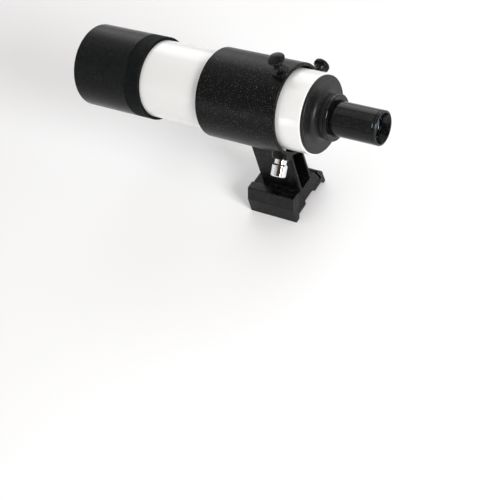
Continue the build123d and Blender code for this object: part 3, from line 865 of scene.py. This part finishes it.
FINISHES: dict[Slot, Surface | Glass] = {
    Slot.SHOE: Surface(
        colour=(0.0018, 0.0020, 0.0018),
        roughness=0.27,
        specular=0.18,
        grains=1900,
        grain_depth=0.000006,
        edge_wear_and_highlight_colour=(0.16, 0.16, 0.155),
        edge_wear_and_highlight_share=0.4,
    ),
    Slot.BRACKET: POWDER_COAT,
    Slot.KNOB: Surface(
        colour=(0.0035, 0.0036, 0.0036),
        roughness=0.26,
        specular=0.16,
        grains=1500,
        grain_depth=0.000003,
        edge_wear_and_highlight_colour=grey(0.08),
        edge_wear_and_highlight_share=0.25,
    ),
    Slot.SCREW: Surface(
        colour=(0.035, 0.035, 0.036),
        roughness=0.32,
        metallic=1.0,
        edge_wear_and_highlight_colour=grey(0.3),
        edge_wear_and_highlight_share=0.4,
    ),
    Slot.PLATED: Surface(
        colour=(0.80, 0.80, 0.81),
        roughness=0.07,
        metallic=1.0,
        grains=600,
        grain_depth=0.0000008,
        edge_wear_and_highlight_colour=grey(0.9),
        edge_wear_and_highlight_share=0.3,
        roughness_spread=0.04,
        dust_share=0.03,
    ),
    Slot.PIN: Surface(colour=(0.75, 0.73, 0.66), roughness=0.5, edge_wear_and_highlight_colour=(0.8, 0.78, 0.72)),
    Slot.SPRING: Surface(
        colour=(0.42, 0.42, 0.43),
        roughness=0.25,
        metallic=1.0,
        edge_wear_and_highlight_colour=grey(0.6),
    ),
    Slot.SEAT: Surface(
        colour=grey(0.012),
        roughness=0.68,
        grains=1400,
        grain_depth=0.000008,
        edge_wear_and_highlight_colour=grey(0.04),
    ),
    Slot.TUBE: Surface(
        colour=(0.80, 0.80, 0.785),
        roughness=0.32,
        coat=0.7,
        coat_roughness=0.06,
        grains=420,
        grain_depth=0.000003,
        fleck_limit=0.8,
        fleck_and_glint_colour=(0.72, 0.72, 0.70),
        edge_wear_and_highlight_colour=(0.62, 0.62, 0.6),
        edge_wear_and_highlight_share=0.35,
        roughness_spread=0.03,
        dust_share=0.03,
    ),
    Slot.LOCK_RING: Surface(
        colour=(0.0030, 0.0040, 0.0043),
        roughness=0.5,
        specular=0.05,
        grain_depth=0.000006,
        ring_depth=0.000002,
        edge_wear_and_highlight_colour=(0.06, 0.062, 0.062),
        edge_wear_and_highlight_share=0.3,
    ),
    Slot.CELL: Surface(
        colour=(0.0014, 0.0020, 0.0020),
        roughness=0.28,
        specular=0.12,
        grain_depth=0.000002,
        ring_depth=0.000001,
        edge_wear_and_highlight_colour=grey(0.14),
        edge_wear_and_highlight_share=0.45,
    ),
    Slot.PLATE: Surface(
        colour=(0.0045, 0.0046, 0.0044),
        roughness=0.4,
        specular=0.26,
        grain_depth=0.000006,
        ring_depth=0.000003,
        edge_wear_and_highlight_colour=(0.16, 0.16, 0.155),
        edge_wear_and_highlight_share=0.45,
    ),
    Slot.EYEPIECE: Surface(
        colour=(0.0020, 0.0023, 0.0025),
        roughness=0.07,
        specular=0.2,
        grain_depth=0.000001,
        ring_depth=0.0000005,
        edge_wear_and_highlight_colour=grey(0.12),
        edge_wear_and_highlight_share=0.4,
    ),
    Slot.INNER: Surface(
        colour=grey(0.007),
        roughness=0.8,
        specular=0.3,
        grain_depth=0.00001,
        edge_wear_and_highlight_colour=grey(0.03),
    ),
    Slot.GLASS: Glass(),
}


@dataclass
class Dresser:
    """Gives pieces their material, their slot and their body."""

    materials: dict[Slot, bpy.types.Material] = field(default_factory=dict)

    def prepare(self) -> None:
        """Build the shared groups and every finish."""
        fine_grain_group()
        worn_and_highlit_edge_group()
        handling_group()
        turning_group()
        for slot, finish in FINISHES.items():
            self.materials[slot] = finish.material(slot.value)

    def settle(self, piece: bpy.types.Object, body: Body, slot: Slot, *nodes: str) -> None:
        """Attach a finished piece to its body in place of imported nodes.

        Args:
            piece: The new piece.
            body: The body that it rides on.
            slot: The record's material slot of its finish.
            nodes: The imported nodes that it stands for.
        """
        piece.data.materials.clear()
        piece.data.materials.append(self.materials[slot])
        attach(piece, body.value)
        if nodes:
            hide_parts(*nodes)
        LOG.info("%s: %d faces on %s", piece.name, len(piece.data.polygons), body.value)

    def dress(self, node: str, slot: Slot) -> None:
        """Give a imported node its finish."""
        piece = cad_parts[node]
        for index in range(len(piece.data.materials)):
            piece.data.materials[index] = self.materials[slot]
        LOG.info("%s: packed shape, %s", node, slot.value)


# ---- Front of the optical tube --------------------------------------------------------------


@dataclass
class ObjectiveCell:
    """The objective's cell with its dew shield, crown lens and retaining ring."""

    size: Extent = measured("objective_cell")
    crown: Extent = measured("crown_lens")
    retainer: Extent = measured("objective_retaining_ring")
    wall_bore: float = 28.56
    shield_bore: float = 28.9
    shield_step: float = 12.2
    lens_bore: float = 26.06
    shoulder_bore: float = 25.3
    shoulder_rear: float = 21.7
    shoulder_front: float = 23.2
    lip: float = 0.35
    crown_edge: float = 1.6
    crown_inner_curve: float = 80.0
    aperture: float = 25.0
    slot_depth: float = 0.8
    slot_half_width: float = 1.3
    rib_pitch: float = 0.75
    rib_depth: float = 0.3

    def build(self, dresser: Dresser) -> None:
        """Make the cell, its front lens and the ring that holds it."""
        dresser.settle(self._cell(), Body.CELL, Slot.CELL, "objective_cell")
        dresser.settle(self._crown(), Body.OBJECTIVE, Slot.GLASS, "crown_lens")
        dresser.settle(self._retainer(), Body.OBJECTIVE, Slot.INNER, "objective_retaining_ring")

    def _cell(self) -> bpy.types.Object:
        """Turn the cell, with fine glare grooves inside its shield."""
        rear, front, outer = self.size.low.y, self.size.high.y, self.size.radius
        step = front - self.shield_step
        outside = outline(
            (rear, self.wall_bore),
            (rear, outer - self.lip),
            (rear + self.lip, outer),
            (front - self.lip, outer),
            (front, outer - self.lip),
            (front, self.shield_bore + self.lip),
            (front - self.lip, self.shield_bore),
        )
        inside = outline(
            (step, self.shield_bore),
            (step, self.lens_bore),
            (rear + self.shoulder_front, self.lens_bore),
            (rear + self.shoulder_front, self.shoulder_bore),
            (rear + self.shoulder_rear, self.shoulder_bore),
            (rear + self.shoulder_rear, self.wall_bore),
        )
        ribs = grooves(
            front - 1.4, step + 0.6, self.shield_bore, self.rib_pitch, self.rib_depth
        )
        section = eased(outside, 0.25, closed=False) + ribs + inside
        return Lathe(OPTICAL_AXIS, 192).make("cell_with_dew_shield", section)

    def _crown(self) -> bpy.types.Object:
        """Turn the biconvex front lens."""
        radius = self.crown.radius
        rear, front = self.crown.low.y, self.crown.high.y
        curve = self.crown_inner_curve
        rear_rim = rear + curve - math.sqrt(curve * curve - radius * radius)
        front_rim = rear_rim + self.crown_edge
        back_face = cap(rear, rear_rim, radius)
        section = list(reversed(back_face)) + cap(front, front_rim, radius)
        return Lathe(OPTICAL_AXIS, 160).make("objective_front_lens", section, hollow=False)

    def _retainer(self) -> bpy.types.Object:
        """Turn the retaining ring and sink its two spanner slots."""
        rear, front, outer = self.retainer.low.y, self.retainer.high.y, self.retainer.radius
        section = outline(
            (rear, outer),
            (front, outer),
            (front, self.aperture),
            (rear + 1.0, self.aperture),
            (rear + 0.1, self.aperture + 0.6),
        )
        lathe = Lathe(OPTICAL_AXIS, 192)
        ring = lathe.turn("objective_retaining_ring_slotted", eased(section, 0.15, steps=2))

        def in_slot(place: Vector) -> bool:
            """Whether a vertex of the front face lies in one of the two slots."""
            return place.z > (front - 0.3) * MM and abs(place.y) < self.slot_half_width * MM

        select_vertices(ring, in_slot)
        bpy.ops.transform.translate(value=(0, 0, -self.slot_depth * MM))
        return lathe.place(ring)


@dataclass
class LockRing:
    """The knurled ring that locks the focus."""

    size: Extent = measured("focus_lock_ring")
    bore: float = 28.56
    land: float = 1.1
    lip: float = 0.4
    teeth: int = 150
    knurl_depth: float = 0.2

    def build(self, dresser: Dresser) -> None:
        """Turn the ring and cut its fine straight knurl between two plain lands."""
        rear, front, outer = self.size.low.y, self.size.high.y, self.size.radius
        section = outline(
            (rear, self.bore),
            (rear, outer - self.lip),
            (rear + self.lip, outer),
            (rear + self.land, outer),
            (rear + self.land + 0.05, outer),
            (rear + self.land + 0.35, outer - 0.03),
            (front - self.land - 0.35, outer - 0.03),
            (front - self.land - 0.05, outer),
            (front - self.land, outer),
            (front - self.lip, outer),
            (front, outer - self.lip),
            (front, self.bore),
        )
        lathe = Lathe(OPTICAL_AXIS, 4 * self.teeth)
        ring = lathe.turn("focus_lock_ring_knurled", section)
        run = Flutes(
            self.teeth, self.knurl_depth, rear + self.land + 0.2, front - self.land - 0.2, outer - 1
        )
        lathe.flute(ring, run)
        dresser.settle(lathe.place(ring), Body.LOCK_RING, Slot.LOCK_RING, "focus_lock_ring")


@dataclass
class MainTube:
    """The painted tube and the threaded collar in its front end."""

    size: Extent = measured("main_tube")
    collar: Extent = measured("focus_thread_collar")
    wall: float = 1.5
    collar_bore: float = 25.6
    thread_pitch: float = 1.0
    thread_depth: float = 0.45

    def build(self, dresser: Dresser) -> None:
        """Turn the tube and its collar."""
        rear, front, outer = self.size.low.y, self.size.high.y, self.size.radius
        bore = outer - self.wall
        tube = outline((rear, bore), (rear, outer), (front, outer), (front, bore))
        lathe = Lathe(OPTICAL_AXIS, 192)
        painted = lathe.make("painted_tube", eased(tube, 0.3))
        dresser.settle(painted, Body.TUBE, Slot.TUBE, "main_tube")
        spigot, tip = self.collar.low.y, self.collar.high.y
        threads = grooves(front + 0.4, tip - 0.6, outer, self.thread_pitch, -self.thread_depth)
        section = (
            outline((spigot, self.collar_bore), (spigot, bore), (front, bore), (front, outer - 0.3))
            + threads
            + outline((tip, outer - 0.5), (tip, self.collar_bore))
        )
        threaded = lathe.make("focus_collar_threaded", section)
        dresser.settle(threaded, Body.TUBE, Slot.INNER, "focus_thread_collar")


# ---- Rear of the optical tube ---------------------------------------------------------------


@dataclass
class RearEnd:
    """The end plate with its flared hub, and the ring that locks the eyepiece."""

    plate: Extent = measured("rear_end_plate")
    ring: Extent = measured("eyepiece_lock_ring")
    barrel: Extent = measured("eyepiece_barrel")
    tube: Extent = measured("main_tube")
    tube_wall: float = 1.5
    plug_bore: float = 25.0
    hub: float = 16.0
    neck: float = 15.2
    hub_long: float = 3.2
    disc_thick: float = 2.2
    flare: float = 21.0
    flare_long: float = 3.9
    lip: float = 0.4
    plug_floor: float = 1.6
    ring_mark: float = 0.12

    def build(self, dresser: Dresser) -> None:
        """Turn both pieces."""
        dresser.settle(self._plate(), Body.TUBE, Slot.PLATE, "rear_end_plate")
        dresser.settle(self._ring(), Body.TUBE, Slot.EYEPIECE, "eyepiece_lock_ring")

    def _plate(self) -> bpy.types.Object:
        """Turn the end plate: plug, disc, hollow flare, neck and hub."""
        rear, front, outer = self.plate.low.y, self.plate.high.y, self.plate.radius
        face = self.tube.low.y
        back = face - self.disc_thick
        bore = self.barrel.radius
        plug = self.tube.radius - self.tube_wall
        step = rear + self.hub_long
        disc = outline(
            (face + self.plug_floor, bore),
            (face + self.plug_floor, self.plug_bore),
            (front, self.plug_bore),
            (front, plug),
            (face, plug),
            (face, outer),
            (back + self.lip, outer),
            (back, outer - self.lip),
            (back, outer - 1.5),
            (back + self.ring_mark, outer - 1.75),
            (back + self.ring_mark, outer - 2.0),
            (back, outer - 2.25),
            (back, self.flare),
        )
        hub = outline(
            (step, self.neck),
            (step, self.hub - self.lip),
            (step - self.lip, self.hub),
            (rear + self.lip, self.hub),
            (rear, self.hub - self.lip),
            (rear, bore),
        )
        section = eased(disc, 0.2, closed=False) + self._flare(back) + eased(hub, 0.2, closed=False)
        return Lathe(OPTICAL_AXIS, 192).make("end_plate_with_hub", section)

    def _flare(self, back: float) -> Outline:
        """Points of the hollow flare from the disc down to the neck."""
        start = Vector((back - 0.05, self.flare - 0.3))
        hollow = Vector((back - 0.2, self.neck + 0.4))
        end = Vector((back - self.flare_long, self.neck))
        points: Outline = []
        for step in range(9):
            share = step / 8
            points.append(start.lerp(hollow, share).lerp(hollow.lerp(end, share), share))
        return points

    def _ring(self) -> bpy.types.Object:
        """Turn the eyepiece lock ring with the recess round the barrel."""
        rear, front, outer = self.ring.low.y, self.ring.high.y, self.ring.radius
        bore = self.barrel.radius
        section = outline(
            (front, bore),
            (front, outer - self.lip),
            (front - self.lip, outer),
            (rear + self.lip, outer),
            (rear, outer - self.lip),
            (rear, bore + 0.6),
            (rear + 0.35, bore + 0.25),
            (rear + 0.35, bore),
        )
        return Lathe(OPTICAL_AXIS, 160).make("eyepiece_lock_ring_turned", eased(section, 0.18))


@dataclass
class Eyepiece:
    """The eyepiece: its barrel, the end ring round the eye opening and the eye lens."""

    barrel: Extent = measured("eyepiece_barrel")
    end: Extent = measured("eyepiece_end_ring")
    lens: Extent = measured("eye_lens_crown")
    bore: float = 10.6
    opening: float = 8.4
    mouth: float = 10.8
    land: float = 1.2
    spigot: float = 5.8
    lip: float = 0.4
    lens_face: float = 8.0
    lens_curve: float = 16.0
    lens_join: float = 5.6

    def build(self, dresser: Dresser) -> None:
        """Turn the three pieces."""
        dresser.settle(self._barrel(), Body.TUBE, Slot.EYEPIECE, "eyepiece_barrel")
        dresser.settle(self._end_ring(), Body.TUBE, Slot.EYEPIECE, "eyepiece_end_ring")
        dresser.settle(self._lens(), Body.TUBE, Slot.GLASS, "eye_lens_crown")

    def _barrel(self) -> bpy.types.Object:
        """Turn the plain barrel."""
        rear, front, outer = self.barrel.low.y, self.barrel.high.y, self.barrel.radius
        section = outline(
            (rear, self.bore),
            (rear, outer - self.lip),
            (rear + self.lip, outer),
            (front, outer),
            (front, self.bore),
        )
        return Lathe(OPTICAL_AXIS, 160).make("eyepiece_barrel_turned", eased(section, 0.15))

    def _end_ring(self) -> bpy.types.Object:
        """Turn the end ring, with its cone down to the eye opening."""
        rear, outer = self.end.low.y, self.end.radius
        seam = self.barrel.low.y
        inner = rear + self.spigot
        section = outline(
            (rear, self.mouth),
            (rear, outer - self.lip),
            (rear + self.lip, outer),
            (seam - self.lip, outer),
            (seam, outer - self.lip),
            (seam, self.bore),
            (inner, self.bore),
            (inner, self.opening),
            (inner - self.land, self.opening),
        )
        return Lathe(OPTICAL_AXIS, 160).make("eyepiece_end_ring_turned", eased(section, 0.18))

    def _lens(self) -> bpy.types.Object:
        """Turn the eye lens, domed towards the eye and hollow towards its partner."""
        radius = self.lens.radius
        tip = self.lens.low.y
        rim = tip + 0.8
        join = tip + self.lens_join
        back = cap(tip, rim, self.lens_face)
        curve = self.lens_curve
        join_rim = join - curve + math.sqrt(curve * curve - radius * radius)
        section = (
            list(reversed(back))
            + outline((rim + 0.1, self.lens_face + 0.6), (rim + 0.1, radius))
            + cap(join, join_rim, radius)
        )
        return Lathe(OPTICAL_AXIS, 128).make("eye_lens_polished", section, hollow=False)


# ---- Screws and plunger ---------------------------------------------------------------------


class Support(Enum):
    """The two thumbscrews, with their direction and the bodies of their pieces."""

    TOP = ("top", (0, 0, 1), Body.TOP_ROD, Body.TOP_KNOB)
    SIDE = ("side", (1, 0, 0), Body.SIDE_ROD, Body.SIDE_KNOB)

    @property
    def line(self) -> TurningLine:
        """The screw's own line, from the optical axis outwards."""
        return TurningLine(SUPPORT_CENTRE, Vector(self.value[1]))


@dataclass
class Thumbscrews:
    """Two like thumbscrews: a mushroom head moulded on a threaded rod."""

    rod: Extent = measured("align_rod_top")
    head: Extent = measured("align_knob_top")
    socket: float = 0.06
    collar: float = 3.4
    collar_long: float = 1.2
    neck: float = 3.0
    neck_long: float = 2.2
    flare: float = 4.0
    flare_long: float = 4.2
    rim_start: float = 5.4
    dome_rise: float = 2.1

    def build(self, dresser: Dresser) -> None:
        """Model one rod and one head, and copy each to both supports."""
        centre = SUPPORT_CENTRE.z
        start, end = self.rod.low.z - centre, self.rod.high.z - centre
        rod = ThreadedRod(self.rod.radius, SCREW_PITCH, start, end).wind("thumbscrew_rod_top")
        lathe = Lathe(Support.TOP.line, 96)
        head = lathe.turn("thumbscrew_head_top", self._head(centre, end))
        rods = {Support.TOP: rod, Support.SIDE: copied(rod, "thumbscrew_rod_side")}
        heads = {Support.TOP: head, Support.SIDE: copied(head, "thumbscrew_head_side")}
        for support in Support:
            place, _, rod_body, head_body = support.value
            place_rod(rods[support], support.line)
            apply_place(heads[support], support.line.placement())
            smoothed(heads[support])
            dresser.settle(rods[support], rod_body, Slot.SCREW, f"align_rod_{place}")
            dresser.settle(heads[support], head_body, Slot.KNOB, f"align_knob_{place}")

    def _head(self, centre: float, rod_end: float) -> Outline:
        """Half section of the head, bored for its rod.

        Args:
            centre: Height of the optical axis.
            rod_end: Outer end of the rod along the screw's line.

        Returns:
            The half section, from the bore's floor round the outside.
        """
        inner, crown = self.head.low.z - centre, self.head.high.z - centre
        radius = self.head.radius
        bore = self.rod.radius + self.socket
        rim = crown - self.dome_rise
        stalk = outline(
            (inner, bore),
            (inner, self.collar),
            (inner + self.collar_long, self.collar),
            (inner + self.collar_long, self.neck),
            (inner + self.neck_long, self.neck),
            (inner + self.flare_long, self.flare),
            (inner + self.rim_start, radius - 0.5),
            (inner + self.rim_start + 0.5, radius),
            (rim - 0.1, radius),
        )
        dome = cap(crown, rim, radius)
        dome[0] = dome[0].lerp(dome[1], 0.25)
        floor = outline((crown - 1.2, 0.25), (rod_end + 0.06, 0.25), (rod_end + 0.06, bore))
        return floor[2:] + eased(stalk, 0.22, closed=False) + dome + floor[:2]


@dataclass
class Plunger:
    """The plated housing of the spring plunger."""

    size: Extent = measured("plunger_housing")
    boss_top: float = 36.3
    thread_root: float = 30.7
    thread: float = 3.6
    neck: float = 4.25
    body_start: float = 40.2
    body: float = 5.4
    body_end: float = 48.7
    tip_bore: float = 1.96
    bore: float = 2.7
    bore_end: float = 46.0
    guide_end: float = 32.4
    lip: float = 0.55

    def build(self, dresser: Dresser) -> None:
        """Turn the housing on the diagonal line between the two thumbscrews."""
        away = self.size.middle - SUPPORT_CENTRE
        line = TurningLine(SUPPORT_CENTRE, Vector((away.x, 0, away.z)).normalized())
        outside = outline(
            (self.thread_root, self.tip_bore),
            (self.thread_root, self.thread),
            (self.boss_top, self.thread),
            (self.boss_top, self.neck),
            (self.body_start - 0.5, self.neck),
            (self.body_start, self.neck + 0.5),
            (self.body_start, self.body - self.lip),
            (self.body_start + self.lip, self.body),
            (self.body_end - self.lip, self.body),
            (self.body_end, self.body - self.lip),
            (self.body_end, 1.6),
            (self.body_end - 0.5, 1.1),
        )
        inside = outline(
            (self.body_end - 0.5, PIN_HOLE),
            (self.bore_end, PIN_HOLE),
            (self.bore_end, self.bore),
            (self.guide_end, self.bore),
            (self.guide_end, self.tip_bore),
        )
        section = eased(outside, 0.22, steps=4, closed=False) + inside
        housing = Lathe(line, 128).make("plunger_housing_plated", section)
        dresser.settle(housing, Body.BRACKET, Slot.PLATED, "plunger_housing")


@dataclass
class ClampScrew:
    """The screw that clamps the dovetail foot: a threaded rod and its fluted knob."""

    rod: Extent = measured("clamp_screw_rod")
    knob: Extent = measured("clamp_screw_knob")
    socket: float = 0.06
    neck: float = 3.4
    neck_long: float = 2.4
    grip_start: float = 3.0
    face_recess: float = 0.4
    flutes: int = 12
    flute_depth: float = 0.55

    def build(self, dresser: Dresser) -> None:
        """Wind the rod and turn the knob."""
        line = TurningLine(Vector((0, self.rod.middle.y, self.rod.middle.z)), Vector((1, 0, 0)))
        rod_radius = (self.rod.high.z - self.rod.low.z) / 2
        grip = (self.knob.high.z - self.knob.low.z) / 2
        rod = ThreadedRod(rod_radius, SCREW_PITCH, self.rod.low.x, self.rod.high.x).wind(
            "clamp_rod_threaded"
        )
        place_rod(rod, line)
        dresser.settle(rod, Body.CLAMP_ROD, Slot.SCREW, "clamp_screw_rod")
        inner, outer = self.knob.low.x, self.knob.high.x
        bore = rod_radius + self.socket
        floor = self.rod.high.x + self.socket
        section = outline(
            (inner, bore),
            (inner, self.neck),
            (inner + self.neck_long, self.neck),
            (inner + self.grip_start, grip - 0.4),
            (inner + self.grip_start + 0.4, grip),
            (outer - 0.9, grip),
            (outer, grip - 0.9),
            (outer, 2.4),
            (outer - self.face_recess, 1.9),
        )
        centre = outline((outer - self.face_recess, PIN_HOLE), (floor, PIN_HOLE), (floor, bore))
        lathe = Lathe(line, 12 * self.flutes)
        knob = lathe.turn("clamp_knob_fluted", eased(section, 0.3, closed=False) + centre)
        run = Flutes(self.flutes, self.flute_depth, inner + self.grip_start, outer - 0.2, grip - 1.4)
        lathe.flute(knob, run)
        dresser.settle(lathe.place(knob), Body.CLAMP_KNOB, Slot.KNOB, "clamp_screw_knob")


@dataclass
class Castings:
    """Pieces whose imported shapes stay: the castings, inner optics, seat, spring and pin."""

    finishes: dict[str, Slot] = field(
        default_factory=lambda: {
            "bracket_body": Slot.BRACKET,
            "dovetail_shoe": Slot.SHOE,
            "flint_lens": Slot.GLASS,
            "eye_lens_flint": Slot.GLASS,
            "field_lens": Slot.GLASS,
            "lens_spacer_ring": Slot.INNER,
            "eyepiece_spacer": Slot.INNER,
            "field_stop_ring": Slot.INNER,
            "crosshair": Slot.SPRING,
            "plunger_spring": Slot.SPRING,
            "plunger_pin": Slot.PIN,
            "seat_o_ring": Slot.SEAT,
        }
    )

    def build(self, dresser: Dresser) -> None:
        """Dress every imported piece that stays."""
        for node, slot in self.finishes.items():
            dresser.dress(node, slot)


# ---- Studio ---------------------------------------------------------------------------------


@dataclass
class Studio:
    """Pale floor, soft lights, bright surroundings and the camera."""

    camera_place: Vector = field(default_factory=lambda: Vector((-0.47473, -0.44432, 0.64211)))
    forward: Vector = field(default_factory=lambda: Vector((0.46895, 0.50096, -0.72741)))
    right: Vector = field(default_factory=lambda: Vector((0.50313, -0.82841, -0.24615)))
    lens: float = 86.34
    sensor: float = 36.0
    floor_size: float = 30.0
    sky: float = 1.04
    shade: float = 0.52
    gloom: float = 0.08
    gloom_tint: Rgb = (0.75, 0.42, 0.3)

    def build(self) -> None:
        """Set up the floor, lights, world, camera and view transform."""
        self._floor()
        self._world()
        self._softbox("overhead", (-0.1, 0.15, 0.95), (1.1, 0.45), 0.8)
        self._softbox("behind", (0.75, 0.35, 0.55), (0.8, 0.6), 2.0)
        self._softbox("eye side", (-0.34, -0.95, 0.54), (0.4, 0.4), 12.0)
        self._softbox("window", (-1.04, 0.6, 0.16), (0.1, 0.45), 0.7)
        self._camera()
        bpy.context.scene.view_settings.view_transform = "Standard"

    def _floor(self) -> None:
        """Lay the floor under the shoe."""
        leave_edit()
        height = CAD_BOX[0][2]
        bpy.ops.mesh.primitive_plane_add(size=self.floor_size, location=(0, 0, height))
        floor = bpy.context.object
        floor.name = "studio_floor"
        paint, shader = new_material("studio_floor")
        set_inputs(shader, Base_Color=grey(0.95), Roughness=0.9, Specular_IOR_Level=0.1)
        floor.data.materials.append(paint)

    def _world(self) -> None:
        """Surround the object with white, shaded on the camera's side and dark right behind it."""
        world = bpy.data.worlds.new("studio")
        bpy.context.scene.world = world
        world.use_nodes = True
        graph = Graph(world.node_tree)
        background = world.node_tree.nodes["Background"]
        place = graph.node("ShaderNodeTexCoord").outputs["Generated"]
        facing = graph.node("ShaderNodeVectorMath", operation="DOT_PRODUCT")
        graph.link(place, facing.inputs[0])
        facing.inputs[1].default_value = -self.forward
        shaded = graph.remap(facing.outputs["Value"], -0.25, 0.7)
        gloomy = graph.remap(facing.outputs["Value"], 0.7, 0.92)
        side = graph.math("MULTIPLY_ADD", shaded, self.shade - self.sky, self.sky)
        light = graph.math("MULTIPLY_ADD", gloomy, self.gloom - self.shade, side)
        seen = graph.node("ShaderNodeLightPath").outputs["Is Camera Ray"]
        strength = graph.math("MAXIMUM", light, graph.math("MULTIPLY", seen, self.sky))
        tint = graph.mix_colour(gloomy, WHITE, self.gloom_tint)
        graph.link(graph.mix_colour(seen, tint, WHITE), background.inputs["Color"])
        graph.link(strength, background.inputs["Strength"])

    def _softbox(
        self,
        name: str,
        place: tuple[float, float, float],
        size: tuple[float, float],
        power: float,
    ) -> None:
        """Hang a soft light that looks at the object.

        Args:
            name: Name of the light.
            place: Where it hangs, in metres.
            size: Its width and height, in metres.
            power: Its power in watts.
        """
        leave_edit()
        bpy.ops.object.light_add(type="AREA", location=place)
        lamp = bpy.context.object
        lamp.name = name
        aim = Vector((0, 0, OPTICAL_AXIS.origin.z * MM)) - Vector(place)
        lamp.rotation_euler = aim.to_track_quat("-Z", "Y").to_euler()
        lamp.data.shape = "RECTANGLE"
        lamp.data.size, lamp.data.size_y = size
        lamp.data.energy = power

    def _camera(self) -> None:
        """Place the camera."""
        leave_edit()
        bpy.ops.object.camera_add()
        camera = bpy.context.object
        up = self.right.cross(self.forward)
        turn = Matrix((self.right, up, -self.forward)).transposed().to_4x4()
        camera.matrix_world = Matrix.Translation(self.camera_place) @ turn
        camera.data.lens = self.lens
        camera.data.sensor_width = self.sensor
        bpy.context.scene.camera = camera


def main() -> None:
    """Build every sub-assembly, dress it and set up the studio."""
    logging.basicConfig(level=logging.INFO, format="%(name)s: %(message)s")
    dresser = Dresser()
    dresser.prepare()
    Castings().build(dresser)
    ObjectiveCell().build(dresser)
    LockRing().build(dresser)
    MainTube().build(dresser)
    RearEnd().build(dresser)
    Eyepiece().build(dresser)
    Thumbscrews().build(dresser)
    Plunger().build(dresser)
    ClampScrew().build(dresser)
    Studio().build()


if __name__ == "__main__":
    main()
